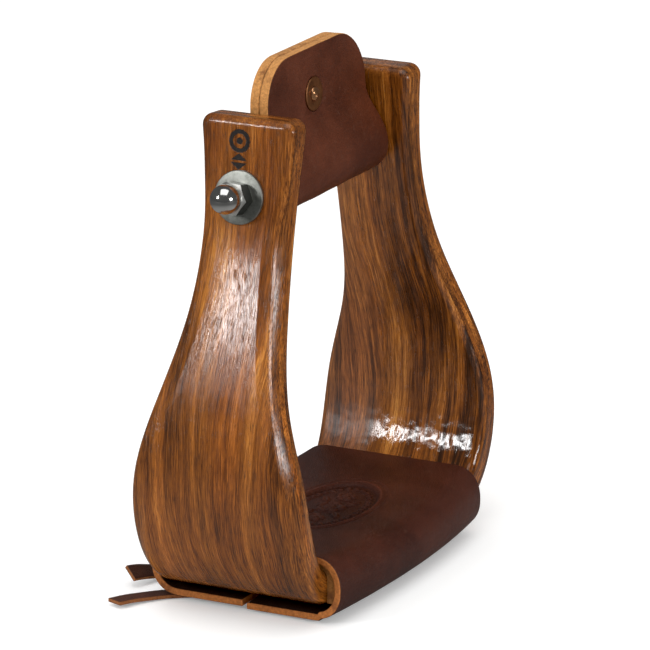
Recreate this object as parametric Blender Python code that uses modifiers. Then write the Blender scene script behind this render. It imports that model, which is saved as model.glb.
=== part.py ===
"""Western stirrup: a bent laminated wood band, a leather covered neck bolt with a
riveted leather tab standing above it, and a laced leather tread cover.

Frame: X across the two arms (near arm at -X, far arm at +X), -Y the front (toe side),
+Y the back, +Z up. The origin is on the ground below the middle of the tread.
Sizes are in millimetres and turned into metres as the objects are made.
"""
import math
from itertools import product

import bmesh
import bpy
import numpy as np
from mathutils import Matrix, Vector

MM = 0.001
GAP = 0.3                    # clearance between resting pieces

# ---------------------------------------------------------------- band dimensions
# from the tread's middle to an arm's end: half spread and height of the outer surface,
# half depth (front to back)
BAND_STATIONS = [
    (0.0, 6.5, 37.6), (18.0, 6.5, 37.6), (36.0, 6.5, 37.6), (54.0, 6.6, 37.6),
    (65.0, 8.3, 37.7), (75.4, 14.2, 38.2), (90.0, 38.2, 39.4), (93.2, 63.2, 37.4),
    (88.8, 93.2, 29.3), (74.8, 128.2, 21.3), (63.0, 168.2, 19.0), (57.5, 208.2, 22.1)]
TREAD_STATIONS = 6           # how many of them lie under the tread pad
BAND_T = 14.0                # whole laminated thickness
# name, and the shares of a veneer's thickness where its edge has extra vertices
VENEERS = [("outer_veneer", (0.3, 0.664)), ("second_veneer", (0.35,)), ("core_veneer", ()),
           ("fourth_veneer", ()), ("inner_veneer", (0.45, 0.75))]
VENEER_T = (BAND_T - (len(VENEERS) - 1) * GAP) / len(VENEERS)
EDGE_R = 3.6                 # rounding of the band's long edges and ends
END_R = 5.5                  # corner radius of the arm ends, seen from the side
BEVEL_W, BEVEL_D = 8.2, 1.7  # shallow bevel along the outer face's edges, on the arms only
BEVEL_FOOT = 1.7             # how far the edge stands back where the bevel ends
BEVEL_ARRIS = 3.2            # rounding between the bevel and the band's side
ARRIS_START = 0.37           # depth into that rounding where the bevel meets it
BEVEL_GROW_Z = (16.0, 50.0)
BEVEL_FADE_Z = (142.0, 174.0)
BAND_STEPS = 30              # segments from the tread's middle to an arm's end corner
CORNER_STEPS = 4             # segments in an arm end's corner
STEP_CROWDING = 0.055        # makes the steps finer round the tight lower bend
PATH_SAMPLES = 4001
ARM_MIN_Z = 30.0             # the path above this is arm
TREAD_REACH = 95.0           # arc length from the middle that covers the tread

# ---------------------------------------------------------------- neck dimensions
# neck bolt: straight between the arms, its ends square to the leaning arms
BOLT_Z = 176.0               # height where it leaves an arm's outer face
BOLT_R = 7.9 / 2
BOLT_HOLE_R = 4.3
BOLT_HOLE_CUT_L = 40.0
BOLT_END_IN = 9.0            # its end parts start this far inside an arm's outer face
BOLT_BEND_L = 9.0            # length of the bend from level to square with the arm
BOLT_BEND_STEPS = 3
BOLT_BEND_INSET = 8.5        # from the arm's inner side to the start of the bend
BOLT_SAG = 0.35              # the level part lies this much below that inner point
INNER_POINT_DEPTH = BAND_T - 0.5
THREAD_REACH = 9.5           # how far the thread reaches into the cap nut
HEAD_OVERLAP = 1.0           # how far the rod reaches into its head
HEX_CORNER_R = 12.7 / math.sqrt(3)     # from the size across flats
HEAD_H = 5.3
WASHER_R, WASHER_T = 11.1, 1.7
SEAT = GAP + WASHER_T + GAP  # from an arm's outer face to the nut or the head
NUT_HEX_H, NUT_H, NUT_DOME_R = 7.0, 17.0, 6.1
NUT_DOME_FOOT = 3.0          # the dome starts this deep in the hexagon
NUT_BORE_DEPTH, NUT_BORE_CUT_L = 10.2, 14.0

# neck sleeve and leather bolt cover, both turning about the neck axis
NECK_Y, NECK_Z = 1.2, 174.8  # the neck is drilled slightly behind the middle
NECK = (0.0, NECK_Y, NECK_Z)
SLEEVE_R, SLEEVE_BORE, SLEEVE_HALF, SLEEVE_CHAMFER = 8.2, 6.25, 45.6, 0.4
PLY_T = 4.0                  # thickness of the folded leather
PLY_GAP = 0.3                # between the two plies in the tab
PLY_MID_Y = (PLY_T + PLY_GAP) / 2      # middle of a ply in the tab
TAB_FACE = PLY_MID_Y + PLY_T / 2       # half thickness of the tab
FOLD_R = SLEEVE_R + GAP + PLY_T / 2    # middle of the leather round the sleeve
FOLD_HALF_W = 45.1           # half width round the sleeve
TAB_HALF_W = 42.8            # half width of the tab above the arms
NARROW_Z, NARROW_H = NECK_Z + 4.0, 22.0   # where the width starts to shrink, and over what
TAB_TOP = 226.1
TAB_CORNER_R = (19.0, 24.0)  # near side, far side
TAB_MEET_Z = 200.0           # the plies come together here
TAB_LEAN = math.radians(2.0)  # the whole cover rests leaning back this much
COVER_ACROSS = 2             # segments across the cover
RIVET_X, RIVET_Z = -3.0, 205.9
RIVET_POST_R, RIVET_HEAD_R = 2.4, 7.0
RIVET_HOLE_CUT_L = 30.0
BURR_R, BURR_H = 7.4, 1.0
BURR_SINK, BURR_SEAT_CUT_L = 0.7, 4.0

# ---------------------------------------------------------------- tread dimensions
COVER_T = 3.0
COVER_HALF_X = 66.0
FLAP_Z = 1.9                 # underside of the flaps
TREAD_TOP_Z = 26.1           # leather surface in the middle of the dish
TREAD_RISE, TREAD_RISE_POWER = 3.1, 2.4   # how it rises to the cover's ends
NOSE_Y_MID, NOSE_Y_NEAR, NOSE_Y_FAR = 48.2, 44.8, 43.6
NOSE_BACK = 0.7              # the back nose stands out this much less
NOSE_A = 13.0                # front-to-back size of the nose's round
NOSE_POWER = 2.3
NOSE_POINTS = 12
SEAM_HALF = 1.0              # half of the gap between the two flaps
FLAP_MID = 8.0               # a row of vertices in the flap, beyond the slits
TREAD_STEPS = 12             # segments along the cover and the pad
PAD_HALF_X = 64.3
PAD_LOW_Z = 9.0
PAD_TOP_SHARE = 0.35         # share of the pad's half section that is its top
PAD_ROUND_SHARE = 0.7        # share where the inner rounding ends
PAD_SIDE_STEPS = 7
LACE_W = 7.4
LACE_T_OUT, LACE_T_IN = 1.5, 1.0       # thickness below and inside the flaps
LACE_Z_OUT = LACE_T_OUT / 2  # its bars under the seam are what stands on the ground
LACE_Z_IN = FLAP_Z + COVER_T + GAP + LACE_T_IN / 2
LACE_BEND_R = 1.3
LACE_BEND_T_OUT, LACE_BEND_T_IN = 1.3, 1.1
LACE_BAR_Y = 6.5
SLIT_Y, SLIT_L, SLIT_W = 10.0, 8.6, 2.2
SLIT_PITCH, SLIT_COUNT = 13.0, 9
SLIT_CUT_H = COVER_T + 4.0
SLIT_X = [SLIT_PITCH * ((SLIT_COUNT - 1) / 2 - k) for k in range(SLIT_COUNT)]
RUN_Y = 21.0                 # the thong's run inside the back flap
TAIL_X, TAIL_Y = -37.0, 30.3  # slit where the upper tail comes out
LOWER_TAIL_DRIFT = 0.8       # the lower tail moves this far towards -X as it leaves its slit
# upper tail from its free end: x from its slit, y, z, direction across the thong, thickness
UPPER_TAIL = [
    (-22.5, 58.0, 5.6, (0.27, 0.71, 0.65), 1.7),
    (-17.5, 56.6, 4.9, (0.36, 0.72, 0.58), 1.7),
    (-12.0, 54.4, 3.9, (0.50, 0.71, 0.45), 1.7),
    (-7.0, 51.4, 2.6, (0.72, 0.62, 0.24), 1.7),
    (-3.0, 47.0, 1.4, (0.88, 0.46, 0.06), LACE_T_OUT),
    (-1.0, 42.0, 1.0, (0.97, 0.22, 0.0), LACE_T_OUT),
    (-0.2, 37.0, LACE_Z_OUT, (1.0, 0.03, 0.0), LACE_T_OUT)]
# lower tail: x from its start, y, rise, direction along the thong (x, y), thickness
LOWER_TAIL = [
    (-0.3, 15.0, 0.0, (-0.1, 0.99), LACE_T_OUT), (-1.7, 22.0, 0.0, (-0.28, 0.96), LACE_T_OUT),
    (-4.6, 29.0, 0.0, (-0.48, 0.88), LACE_T_OUT), (-9.4, 36.5, 0.1, (-0.64, 0.77), 1.6),
    (-16.5, 43.3, 0.4, (-0.76, 0.65), 1.6), (-24.5, 48.5, 0.9, (-0.88, 0.47), 1.6),
    (-32.0, 51.3, 1.5, (-0.95, 0.31), 1.6)]

MATERIALS = {
    "wood": dict(color=(0.30, 0.115, 0.025), roughness=0.22, metallic=0.0),
    "leather": dict(color=(0.085, 0.022, 0.014), roughness=0.45, metallic=0.0),
    "felt": dict(color=(0.12, 0.06, 0.03), roughness=0.9, metallic=0.0),
    "lace": dict(color=(0.10, 0.035, 0.018), roughness=0.6, metallic=0.0),
    "steel": dict(color=(0.72, 0.72, 0.70), roughness=0.18, metallic=1.0),
    "copper": dict(color=(0.60, 0.27, 0.13), roughness=0.35, metallic=1.0),
}
SHARP_ANGLE = math.radians(35)

# ---------------------------------------------------------------- scene and objects
for old in list(bpy.data.objects):
    bpy.data.objects.remove(old, do_unlink=True)

PARTS = bpy.data.collections.new("stirrup")
CUTTERS = bpy.data.collections.new("cutters")
bpy.context.scene.collection.children.link(PARTS)
bpy.context.scene.collection.children.link(CUTTERS)


def make_material(name, color, roughness, metallic):
    mat = bpy.data.materials.new(name)
    mat.use_nodes = True
    inputs = mat.node_tree.nodes["Principled BSDF"].inputs
    inputs["Base Color"].default_value = (*color, 1.0)
    inputs["Roughness"].default_value = roughness
    inputs["Metallic"].default_value = metallic
    return mat


def add_object(name, bm, kind=None, origin=(0.0, 0.0, 0.0)):
    """A mesh object from a bmesh given in world millimetres, with its origin at a
    stated world point. kind is a key of MATERIALS; None makes a hidden helper."""
    origin = Vector(origin)
    for v in bm.verts:
        v.co = (v.co - origin) * MM
    bmesh.ops.recalc_face_normals(bm, faces=bm.faces[:])
    mesh = bpy.data.meshes.new(name)
    bm.to_mesh(mesh)
    bm.free()
    obj = bpy.data.objects.new(name, mesh)
    obj.location = origin * MM
    if kind is None:
        CUTTERS.objects.link(obj)
        obj.hide_render = True
        obj.display_type = "WIRE"
    else:
        PARTS.objects.link(obj)
        mesh.materials.append(make_material(name, **MATERIALS[kind]))
        mesh.shade_smooth()
        mesh.set_sharp_from_angle(angle=SHARP_ANGLE)
    return obj


def boolean(obj, other, operation="DIFFERENCE"):
    mod = obj.modifiers.new(operation.lower(), "BOOLEAN")
    mod.operation = operation
    mod.solver = "EXACT"
    mod.object = other


def thicken(obj, thickness):
    """Gives a sheet its thickness, half to each side."""
    mod = obj.modifiers.new("thickness", "SOLIDIFY")
    mod.thickness = thickness * MM
    mod.offset = 0.0
    mod.use_even_offset = True


# ---------------------------------------------------------------- mesh building
def lattice_shell(counts, where):
    """The closed skin of a block of cells, counts along i, j and k, whose corners are
    placed by where(i, j, k): the loft used for the curved wood, pad and lace."""
    bm = bmesh.new()
    verts = {}

    def vert(cell):
        if cell not in verts:
            verts[cell] = bm.verts.new(where(*cell))
        return verts[cell]

    for fixed in (2, 1, 0):
        first, second = [axis for axis in range(3) if axis != fixed]
        for p, q, level in product(range(counts[first]), range(counts[second]),
                                   (0, counts[fixed])):
            face = []
            for dp, dq in ((0, 0), (1, 0), (1, 1), (0, 1)):
                cell = [level] * 3
                cell[first], cell[second] = p + dp, q + dq
                face.append(vert(tuple(cell)))
            bm.faces.new(face)
    return bm


def bent_sheet(across, rows, where):
    """A grid whose vertices are placed by where(share across from -1 to 1, row)."""
    bm = bmesh.new()
    bmesh.ops.create_grid(bm, x_segments=across, y_segments=rows, size=1.0)
    for v in bm.verts:
        v.co = where(v.co.x, int(round((v.co.y + 1) / 2 * rows)))
    return bm


def cylinder(radius, height, segments):
    """A cylinder along Z, centred on the origin."""
    bm = bmesh.new()
    bmesh.ops.create_cone(bm, cap_ends=True, segments=segments, radius1=radius,
                          radius2=radius, depth=height)
    return bm


def evaluated_bmesh(obj):
    """Turns a temporary object into a bmesh in millimetres and removes the object."""
    graph = bpy.context.evaluated_depsgraph_get()
    mesh = bpy.data.meshes.new_from_object(obj.evaluated_get(graph))
    bpy.data.objects.remove(obj, do_unlink=True)
    bm = bmesh.new()
    bm.from_mesh(mesh)
    bpy.data.meshes.remove(mesh)
    for v in bm.verts:
        v.co = v.co / MM
    bmesh.ops.remove_doubles(bm, verts=bm.verts[:], dist=0.001)
    return bm


def turned(profile, steps):
    """A closed solid of revolution about +Z from a line of (radius, height) points.
    A profile that doesn't start on the axis is closed into a ring."""
    mesh = bpy.data.meshes.new("profile")
    bm = bmesh.new()
    verts = [bm.verts.new((r * MM, 0, z * MM)) for r, z in profile]
    for start, end in zip(verts, verts[1:]):
        bm.edges.new((start, end))
    if profile[0][0] > 0.001:
        bm.edges.new((verts[-1], verts[0]))
    bm.to_mesh(mesh)
    bm.free()
    obj = bpy.data.objects.new("profile", mesh)
    CUTTERS.objects.link(obj)
    mod = obj.modifiers.new("screw", "SCREW")
    mod.axis = "Z"
    mod.angle = 2 * math.pi
    mod.steps = mod.render_steps = steps
    mod.use_merge_vertices = True
    mod.merge_threshold = 0.00001
    return evaluated_bmesh(obj)


def place(bm, point, direction, lift):
    """Moves a piece modelled along +Z to start at lift along a direction."""
    direction = Vector(direction).normalized()
    turn = Vector((0, 0, 1)).rotation_difference(direction).to_matrix().to_4x4()
    move = Matrix.Translation(Vector(point) + direction * lift)
    bmesh.ops.transform(bm, matrix=move @ turn, verts=bm.verts[:])
    return bm


# ---------------------------------------------------------------- curves by rule
def clamp(share):
    return min(1.0, max(0.0, share))


def smooth_step(share):
    share = clamp(share)
    return 3 * share**2 - 2 * share**3


def round_inset(depth, radius):
    """How far a rounded edge stands back at a depth below the face."""
    if depth >= radius:
        return 0.0
    return radius - math.sqrt(max(0.0, radius**2 - (radius - depth)**2))


def spline(knots, values):
    """Cubic spline with not-a-knot ends, returned as a function."""
    count = len(knots)
    h = np.diff(knots)
    slope = np.diff(values) / h
    matrix = np.zeros((count, count))
    right = np.zeros(count)
    matrix[0, :3] = h[1], -(h[0] + h[1]), h[0]
    matrix[-1, -3:] = h[-1], -(h[-2] + h[-1]), h[-2]
    for i in range(1, count - 1):
        matrix[i, i - 1:i + 2] = h[i - 1], 2 * (h[i - 1] + h[i]), h[i]
        right[i] = 6 * (slope[i] - slope[i - 1])
    curvature = np.linalg.solve(matrix, right)

    def value(x):
        i = np.clip(np.searchsorted(knots, x) - 1, 0, count - 2)
        after, before, width = x - knots[i], knots[i + 1] - x, h[i]
        return ((curvature[i] * before**3 + curvature[i + 1] * after**3) / (6 * width)
                + (values[i] / width - curvature[i] * width / 6) * before
                + (values[i + 1] / width - curvature[i + 1] * width / 6) * after)
    return value


class Band:
    """The bent band's outer surface: a path in XZ by arc length s, which is 0 in the
    tread's middle and grows towards the far arm, and a half depth along it."""

    def __init__(self):
        spread, height, depth = np.array(BAND_STATIONS).T
        xs = np.r_[-spread[:0:-1], spread]
        zs = np.r_[height[:0:-1], height]
        depths = np.r_[depth[:0:-1], depth]
        chord = np.r_[0, np.cumsum(np.hypot(np.diff(xs), np.diff(zs)))]
        chord = chord - chord[len(BAND_STATIONS) - 1]
        self.depth_at = spline(chord, depths)
        self.chord = np.linspace(chord[0], chord[-1], PATH_SAMPLES)
        self.x, self.z = spline(chord, xs)(self.chord), spline(chord, zs)(self.chord)
        s = np.r_[0, np.cumsum(np.hypot(np.diff(self.x), np.diff(self.z)))]
        self.s = s - np.interp(0.0, self.chord, s)
        dx, dz = np.gradient(self.x, self.s), np.gradient(self.z, self.s)
        norm = np.hypot(dx, dz)
        self.dx, self.dz = dx / norm, dz / norm
        self.length = self.s[-1]

    def at(self, s):
        """Position x, z and unit tangent dx, dz."""
        return [float(np.interp(s, self.s, column))
                for column in (self.x, self.z, self.dx, self.dz)]

    def half_depth(self, s):
        return float(self.depth_at(np.interp(s, self.s, self.chord)))

    def point(self, s, y, depth):
        """A point at a depth inwards from the outer surface."""
        x, z, dx, dz = self.at(s)
        return Vector((x - dz * depth, y, z + dx * depth))

    def arm_s(self, z):
        """Arc length where the far arm reaches a height."""
        arm = (self.s > 0) & (self.z > ARM_MIN_Z)
        return float(np.interp(z, self.z[arm], self.s[arm]))

    def inner_z(self, x):
        """Height of the inner surface of the tread part at a given x."""
        keep = abs(self.s) < TREAD_REACH
        inner_x = (self.x - self.dz * BAND_T)[keep]
        inner_z = (self.z + self.dx * BAND_T)[keep]
        return float(np.interp(x, inner_x, inner_z))


BAND = Band()


def bolt_frame(side):
    """The point where the bolt leaves an arm, and the outward normal there."""
    x, z, dx, dz = BAND.at(side * BAND.arm_s(BOLT_Z))
    return Vector((x, NECK_Y, z)), Vector((dz, 0.0, -dx)).normalized()


NEAR_EXIT, NEAR_OUT = bolt_frame(-1)
FAR_EXIT, FAR_OUT = bolt_frame(1)


# ---------------------------------------------------------------- wood band
def bevel_share(s):
    """Share of the full bevel at a place along the band, from 0 to 1."""
    z = BAND.at(s)[1]
    (grow_start, grow_end), (fade_start, fade_end) = BEVEL_GROW_Z, BEVEL_FADE_Z
    return (smooth_step((z - grow_start) / (grow_end - grow_start))
            * smooth_step((fade_end - z) / (fade_end - fade_start)))


def edge_inset(depth, share=0.0):
    """How far the edge stands back at a depth of the whole band: rounded at both
    arrises, and bevelled towards the outer face by the given share."""
    plain = round_inset(min(depth, BAND_T - depth), EDGE_R)
    if share <= 0.0 or depth > BAND_T / 2:
        return plain
    if depth <= BEVEL_D:
        cut = BEVEL_FOOT + (BEVEL_W - BEVEL_FOOT) * (1 - depth / BEVEL_D)
    else:
        cut = round_inset(ARRIS_START + depth - BEVEL_D, BEVEL_ARRIS)
    return plain + (cut - plain) * share


HALF_STEPS = BAND_STEPS + CORNER_STEPS


def band_station(i, depth):
    """Arc length and half depth of station i at a depth of the band."""
    side = 1 if i >= HALF_STEPS else -1
    step = abs(i - HALF_STEPS)
    inset = edge_inset(depth)
    radius = END_R - inset
    corner_start = BAND.length - inset - radius
    if step <= BAND_STEPS:
        share = step / BAND_STEPS
        s = corner_start * (share - STEP_CROWDING * math.sin(2 * math.pi * share))
        return side * s, BAND.half_depth(s) - edge_inset(depth, bevel_share(s))
    angle = math.pi / 2 * (step - BAND_STEPS) / CORNER_STEPS
    s = corner_start + radius * math.sin(angle)
    return side * s, BAND.half_depth(s) - inset - radius * (1 - math.cos(angle))


def veneer(name, index, extra_shares, cutters):
    start = index * (VENEER_T + GAP)
    levels = [start + VENEER_T * share for share in (0.0, *extra_shares, 1.0)]

    def where(i, j, k):
        s, half_depth = band_station(i, levels[k])
        return BAND.point(s, half_depth * (2 * j - 1), levels[k])

    obj = add_object(name, lattice_shell((2 * HALF_STEPS, 1, len(levels) - 1), where), "wood")
    for cutter in cutters:
        boolean(obj, cutter)


bolt_holes = [
    add_object(name, place(cylinder(BOLT_HOLE_R, BOLT_HOLE_CUT_L, 24), point, out, -BAND_T / 2))
    for name, point, out in (("bolt_hole_near", NEAR_EXIT, NEAR_OUT),
                             ("bolt_hole_far", FAR_EXIT, FAR_OUT))]
for index, (name, extra_shares) in enumerate(VENEERS):
    veneer(name, index, extra_shares, bolt_holes)


# ---------------------------------------------------------------- neck hardware
def hexagon(height):
    """A hexagonal prism from z 0 to height."""
    bm = cylinder(HEX_CORNER_R, height, 6)
    bmesh.ops.translate(bm, vec=(0, 0, height / 2), verts=bm.verts[:])
    return bm


def chamfer_envelope(height):
    """The round body that a hexagon is cut to, which chamfers its corners."""
    r = HEX_CORNER_R
    return turned([(0.0, height), (r - 1.05, height), (r + 0.1, height - 0.65),
                   (r + 0.1, 0.25), (r - 0.35, 0.0), (0.0, 0.0)], 24)


def washer(name, point, out):
    bm = turned([(WASHER_R - 0.3, WASHER_T), (WASHER_R, WASHER_T - 0.3), (WASHER_R, 0.2),
                 (WASHER_R - 0.2, 0.0), (BOLT_HOLE_R, 0.0), (BOLT_HOLE_R, WASHER_T)], 28)
    add_object(name, place(bm, point, out, GAP), "steel")


def bolt_points():
    """Centre line of the bolt, from its tip in the cap nut to its head."""
    inner = FAR_EXIT - FAR_OUT * INNER_POINT_DEPTH
    lean = math.atan2(FAR_OUT.z, FAR_OUT.x)
    bend = []
    for q in range(BOLT_BEND_STEPS + 1):
        share = q / BOLT_BEND_STEPS
        run, angle = BOLT_BEND_L * share, lean * share / 2
        bend.append((inner.x - BOLT_BEND_INSET + run * math.cos(angle),
                     inner.z - BOLT_SAG + run * math.sin(angle)))
    return ([NEAR_EXIT + NEAR_OUT * (SEAT + THREAD_REACH), NEAR_EXIT - NEAR_OUT * BOLT_END_IN]
            + [Vector((-x, NECK_Y, z)) for x, z in reversed(bend)]
            + [Vector((x, NECK_Y, z)) for x, z in bend]
            + [FAR_EXIT - FAR_OUT * BOLT_END_IN, FAR_EXIT + FAR_OUT * (SEAT + HEAD_OVERLAP)])


def bolt_rod():
    curve = bpy.data.curves.new("neck_bolt_path", "CURVE")
    curve.dimensions = "3D"
    curve.bevel_depth = BOLT_R * MM
    curve.bevel_resolution = 4
    curve.use_fill_caps = True
    curve.twist_mode = "MINIMUM"
    path = curve.splines.new("POLY")
    points = bolt_points()
    path.points.add(len(points) - 1)
    for path_point, co in zip(path.points, points):
        path_point.co = (*(co * MM), 1.0)
    obj = bpy.data.objects.new("neck_bolt_path", curve)
    CUTTERS.objects.link(obj)
    return evaluated_bmesh(obj)


def neck_bolt():
    """A bent rod with a hexagonal head on the far side."""
    bolt = add_object("neck_bolt", bolt_rod(), "steel")
    chamfer = add_object("head_chamfer",
                         place(chamfer_envelope(HEAD_H), FAR_EXIT, FAR_OUT, SEAT))
    head = add_object("bolt_head", place(hexagon(HEAD_H), FAR_EXIT, FAR_OUT, SEAT))
    boolean(head, chamfer, "INTERSECT")
    boolean(bolt, head, "UNION")


def cap_nut():
    """Hexagon, dome and blind thread bore, on the near side."""
    def at_nut(bm, lift=SEAT):
        return place(bm, NEAR_EXIT, NEAR_OUT, lift)

    dome_profile = [(NUT_DOME_R * math.sin(a), NUT_H - NUT_DOME_R + NUT_DOME_R * math.cos(a))
                    for a in np.linspace(0, math.pi / 2, 7)]
    dome_profile += [(NUT_DOME_R, NUT_DOME_FOOT), (0.0, NUT_DOME_FOOT)]
    nut = add_object("cap_nut", at_nut(hexagon(NUT_HEX_H)), "steel")
    chamfer = add_object("nut_chamfer", at_nut(chamfer_envelope(NUT_HEX_H)))
    dome = add_object("nut_dome", at_nut(turned(dome_profile, 24)))
    bore = add_object("nut_bore", at_nut(cylinder(BOLT_R + GAP, NUT_BORE_CUT_L, 24),
                                         SEAT + NUT_BORE_DEPTH - NUT_BORE_CUT_L / 2))
    boolean(nut, chamfer, "INTERSECT")
    boolean(nut, dome, "UNION")
    boolean(nut, bore)


def neck_sleeve():
    """The tube the leather turns on."""
    r, half, c = SLEEVE_R, SLEEVE_HALF, SLEEVE_CHAMFER
    bm = turned([(r - c, half), (r, half - c), (r, -half + c), (r - c, -half),
                 (SLEEVE_BORE, -half), (SLEEVE_BORE, half)], 28)
    bmesh.ops.rotate(bm, cent=(0, 0, 0), matrix=Matrix.Rotation(math.pi / 2, 3, "Y"),
                     verts=bm.verts[:])
    bmesh.ops.translate(bm, vec=NECK, verts=bm.verts[:])
    add_object("neck_sleeve", bm, "steel", origin=NECK)


washer("nut_washer", NEAR_EXIT, NEAR_OUT)
washer("head_washer", FAR_EXIT, FAR_OUT)
neck_bolt()
cap_nut()
neck_sleeve()


# ---------------------------------------------------------------- leather bolt cover
def lean_back(y, z):
    """Turns a point (y from the neck, z) back about the neck axis by the cover's lean."""
    c, s, dz = math.cos(TAB_LEAN), math.sin(TAB_LEAN), z - NECK_Z
    return NECK_Y + y * c + dz * s, NECK_Z - y * s + dz * c


def cover_line():
    """Middle line of the folded leather, upright, as (y from the neck, z): down the front
    ply, round the sleeve and up the back ply."""
    corner_z = TAB_TOP - max(TAB_CORNER_R)
    front = []
    for z in np.r_[np.linspace(TAB_TOP, corner_z, 9), np.linspace(corner_z - 2, NECK_Z + 2, 8)]:
        share = clamp((TAB_MEET_Z - z) / (TAB_MEET_Z - NECK_Z))
        spread = (FOLD_R - PLY_MID_Y) * (1 - math.cos(math.pi * share)) / 2
        front.append((-PLY_MID_Y - spread, z))
    fold = [(-FOLD_R * math.cos(a), NECK_Z - FOLD_R * math.sin(a))
            for a in np.linspace(0, math.pi, 15)]
    return front + fold + [(-y, z) for y, z in reversed(front)]


def cover_half_width(z, side):
    """Half width at a height: wide round the sleeve, narrower in the tab, round corners."""
    width = FOLD_HALF_W + (TAB_HALF_W - FOLD_HALF_W) * smooth_step((z - NARROW_Z) / NARROW_H)
    return width - round_inset(TAB_TOP - z, TAB_CORNER_R[0 if side < 0 else 1])


TAB_FRONT = Vector((0.0, -math.cos(TAB_LEAN), math.sin(TAB_LEAN)))   # out of the front ply
RIVET_CENTRE = Vector((RIVET_X, *lean_back(0.0, RIVET_Z)))
BURR_FLOOR = TAB_FACE - BURR_SINK      # floor of the burr's seat, from the tab's middle


def at_rivet(bm, lift=0.0):
    return place(bm, RIVET_CENTRE, TAB_FRONT, lift)


def bolt_cover():
    """Folded leather with a rivet hole and the shallow seat the burr is pressed into."""
    line = cover_line()

    def where(share, row):
        y, z = line[row]
        return Vector((share * cover_half_width(z, share), *lean_back(y, z)))

    cover = add_object("bolt_cover", bent_sheet(COVER_ACROSS, len(line) - 1, where), "leather",
                       origin=NECK)
    thicken(cover, PLY_T)
    boolean(cover, add_object("rivet_hole", at_rivet(
        cylinder(RIVET_POST_R + GAP, RIVET_HOLE_CUT_L, 24))))
    boolean(cover, add_object("burr_seat", at_rivet(
        cylinder(BURR_R + GAP, BURR_SEAT_CUT_L, 32), BURR_FLOOR + BURR_SEAT_CUT_L / 2)))


def rivet_burr():
    """Copper ring on the front of the tab."""
    bore = RIVET_POST_R + GAP
    bm = turned([(BURR_R - 0.35, BURR_H), (BURR_R, 0.6), (BURR_R, 0.0), (bore, 0.0),
                 (bore, BURR_H)], 24)
    add_object("rivet_burr", at_rivet(bm, BURR_FLOOR + GAP), "copper", origin=NECK)


def cover_rivet():
    """Copper rivet, its head on the back and its peened end in front of the burr."""
    back = -TAB_FACE - GAP
    top = BURR_FLOOR + GAP + BURR_H + GAP
    bm = turned([(0.0, top + 1.3), (1.9, top + 1.15), (3.1, top + 0.55), (3.35, top),
                 (RIVET_POST_R, top), (RIVET_POST_R, back), (RIVET_HEAD_R, back),
                 (RIVET_HEAD_R, back - 0.5), (RIVET_HEAD_R - 1.6, back - 1.25),
                 (0.0, back - 1.5)], 20)
    add_object("cover_rivet", at_rivet(bm), "copper", origin=NECK)


bolt_cover()
rivet_burr()
cover_rivet()


# ---------------------------------------------------------------- tread cover
def tread_top(x):
    return TREAD_TOP_Z + TREAD_RISE * (abs(x) / COVER_HALF_X)**TREAD_RISE_POWER


def nose_y(x, side):
    end = NOSE_Y_NEAR if x < 0 else NOSE_Y_FAR
    y = NOSE_Y_MID + (end - NOSE_Y_MID) * (x / COVER_HALF_X)**2
    return y - (NOSE_BACK if side > 0 else 0.0)


def nose(x, angle, inward, side):
    """Point of the cover's nose at an angle (0 top, 90 deg outermost, 180 deg bottom),
    a distance inside the leather's outer surface. side is -1 in front and 1 at the back,
    and y is counted outwards."""
    top, low = tread_top(x) - inward, FLAP_Z + inward
    half_y, half_z = NOSE_A - inward, (top - low) / 2
    c, s = math.cos(angle), math.sin(angle)
    scale = (abs(c)**NOSE_POWER + abs(s)**NOSE_POWER)**(-1 / NOSE_POWER)
    y = nose_y(x, side) - inward - half_y + half_y * s * scale
    return y, (top + low) / 2 + half_z * c * scale


def cover_section(x, side):
    """Half of the cover's wrap at mid thickness, from the middle of the top to the seam,
    y outwards."""
    inward = COVER_T / 2
    nose_start = nose(x, 0.0, inward, side)[0]
    points = [(nose_start * share, tread_top(x) - inward) for share in (0.0, 0.5)]
    points += [nose(x, a, inward, side) for a in np.linspace(0, math.pi, NOSE_POINTS)]
    points += [(y, FLAP_Z + inward) for y in (SLIT_Y + FLAP_MID, SLIT_Y, SEAM_HALF)]
    return points


def lace_slits():
    """Slits in both flaps, without the last front one, and the upper tail's slit."""
    places = [(x, y) for x in SLIT_X for y in (SLIT_Y, -SLIT_Y)][:-1] + [(TAIL_X, TAIL_Y)]
    size = Matrix.Diagonal((SLIT_L, SLIT_W, SLIT_CUT_H, 1))
    bm = bmesh.new()
    for x, y in places:
        move = Matrix.Translation((x, y, FLAP_Z + COVER_T / 2))
        bmesh.ops.create_cube(bm, size=1.0, matrix=move @ size)
    return add_object("lace_slits", bm)


def tread_cover():
    half_rows = len(cover_section(0.0, 1)) - 1

    def where(share, row):
        x, i = share * COVER_HALF_X, row - half_rows
        y, z = cover_section(x, 1 if i > 0 else -1)[abs(i)]
        return Vector((x, math.copysign(y, i) if i else 0.0, z))

    tread = add_object("tread_cover", bent_sheet(TREAD_STEPS, 2 * half_rows, where), "leather")
    thicken(tread, COVER_T)
    boolean(tread, lace_slits())


tread_cover()


# ---------------------------------------------------------------- tread pad
def pad_outer(x, share):
    """Outer side of the pad: share from -1 (front low edge) to 1 (back low edge)."""
    inward = COVER_T + GAP
    side = 1 if share > 0 else -1
    reach = abs(share)
    if reach < PAD_TOP_SHARE:
        y = nose(x, 0.0, inward, side)[0] * reach / PAD_TOP_SHARE
        return math.copysign(y, share), tread_top(x) - inward
    low = 1.0                    # share of a half turn where the nose is at the low edge
    for _ in range(40):
        low -= (PAD_LOW_Z - nose(x, low * math.pi, inward, side)[1]) / 60.0
    angle = low * math.pi * (reach - PAD_TOP_SHARE) / (1 - PAD_TOP_SHARE)
    y, z = nose(x, angle, inward, side)
    return math.copysign(y, share), z


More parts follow.
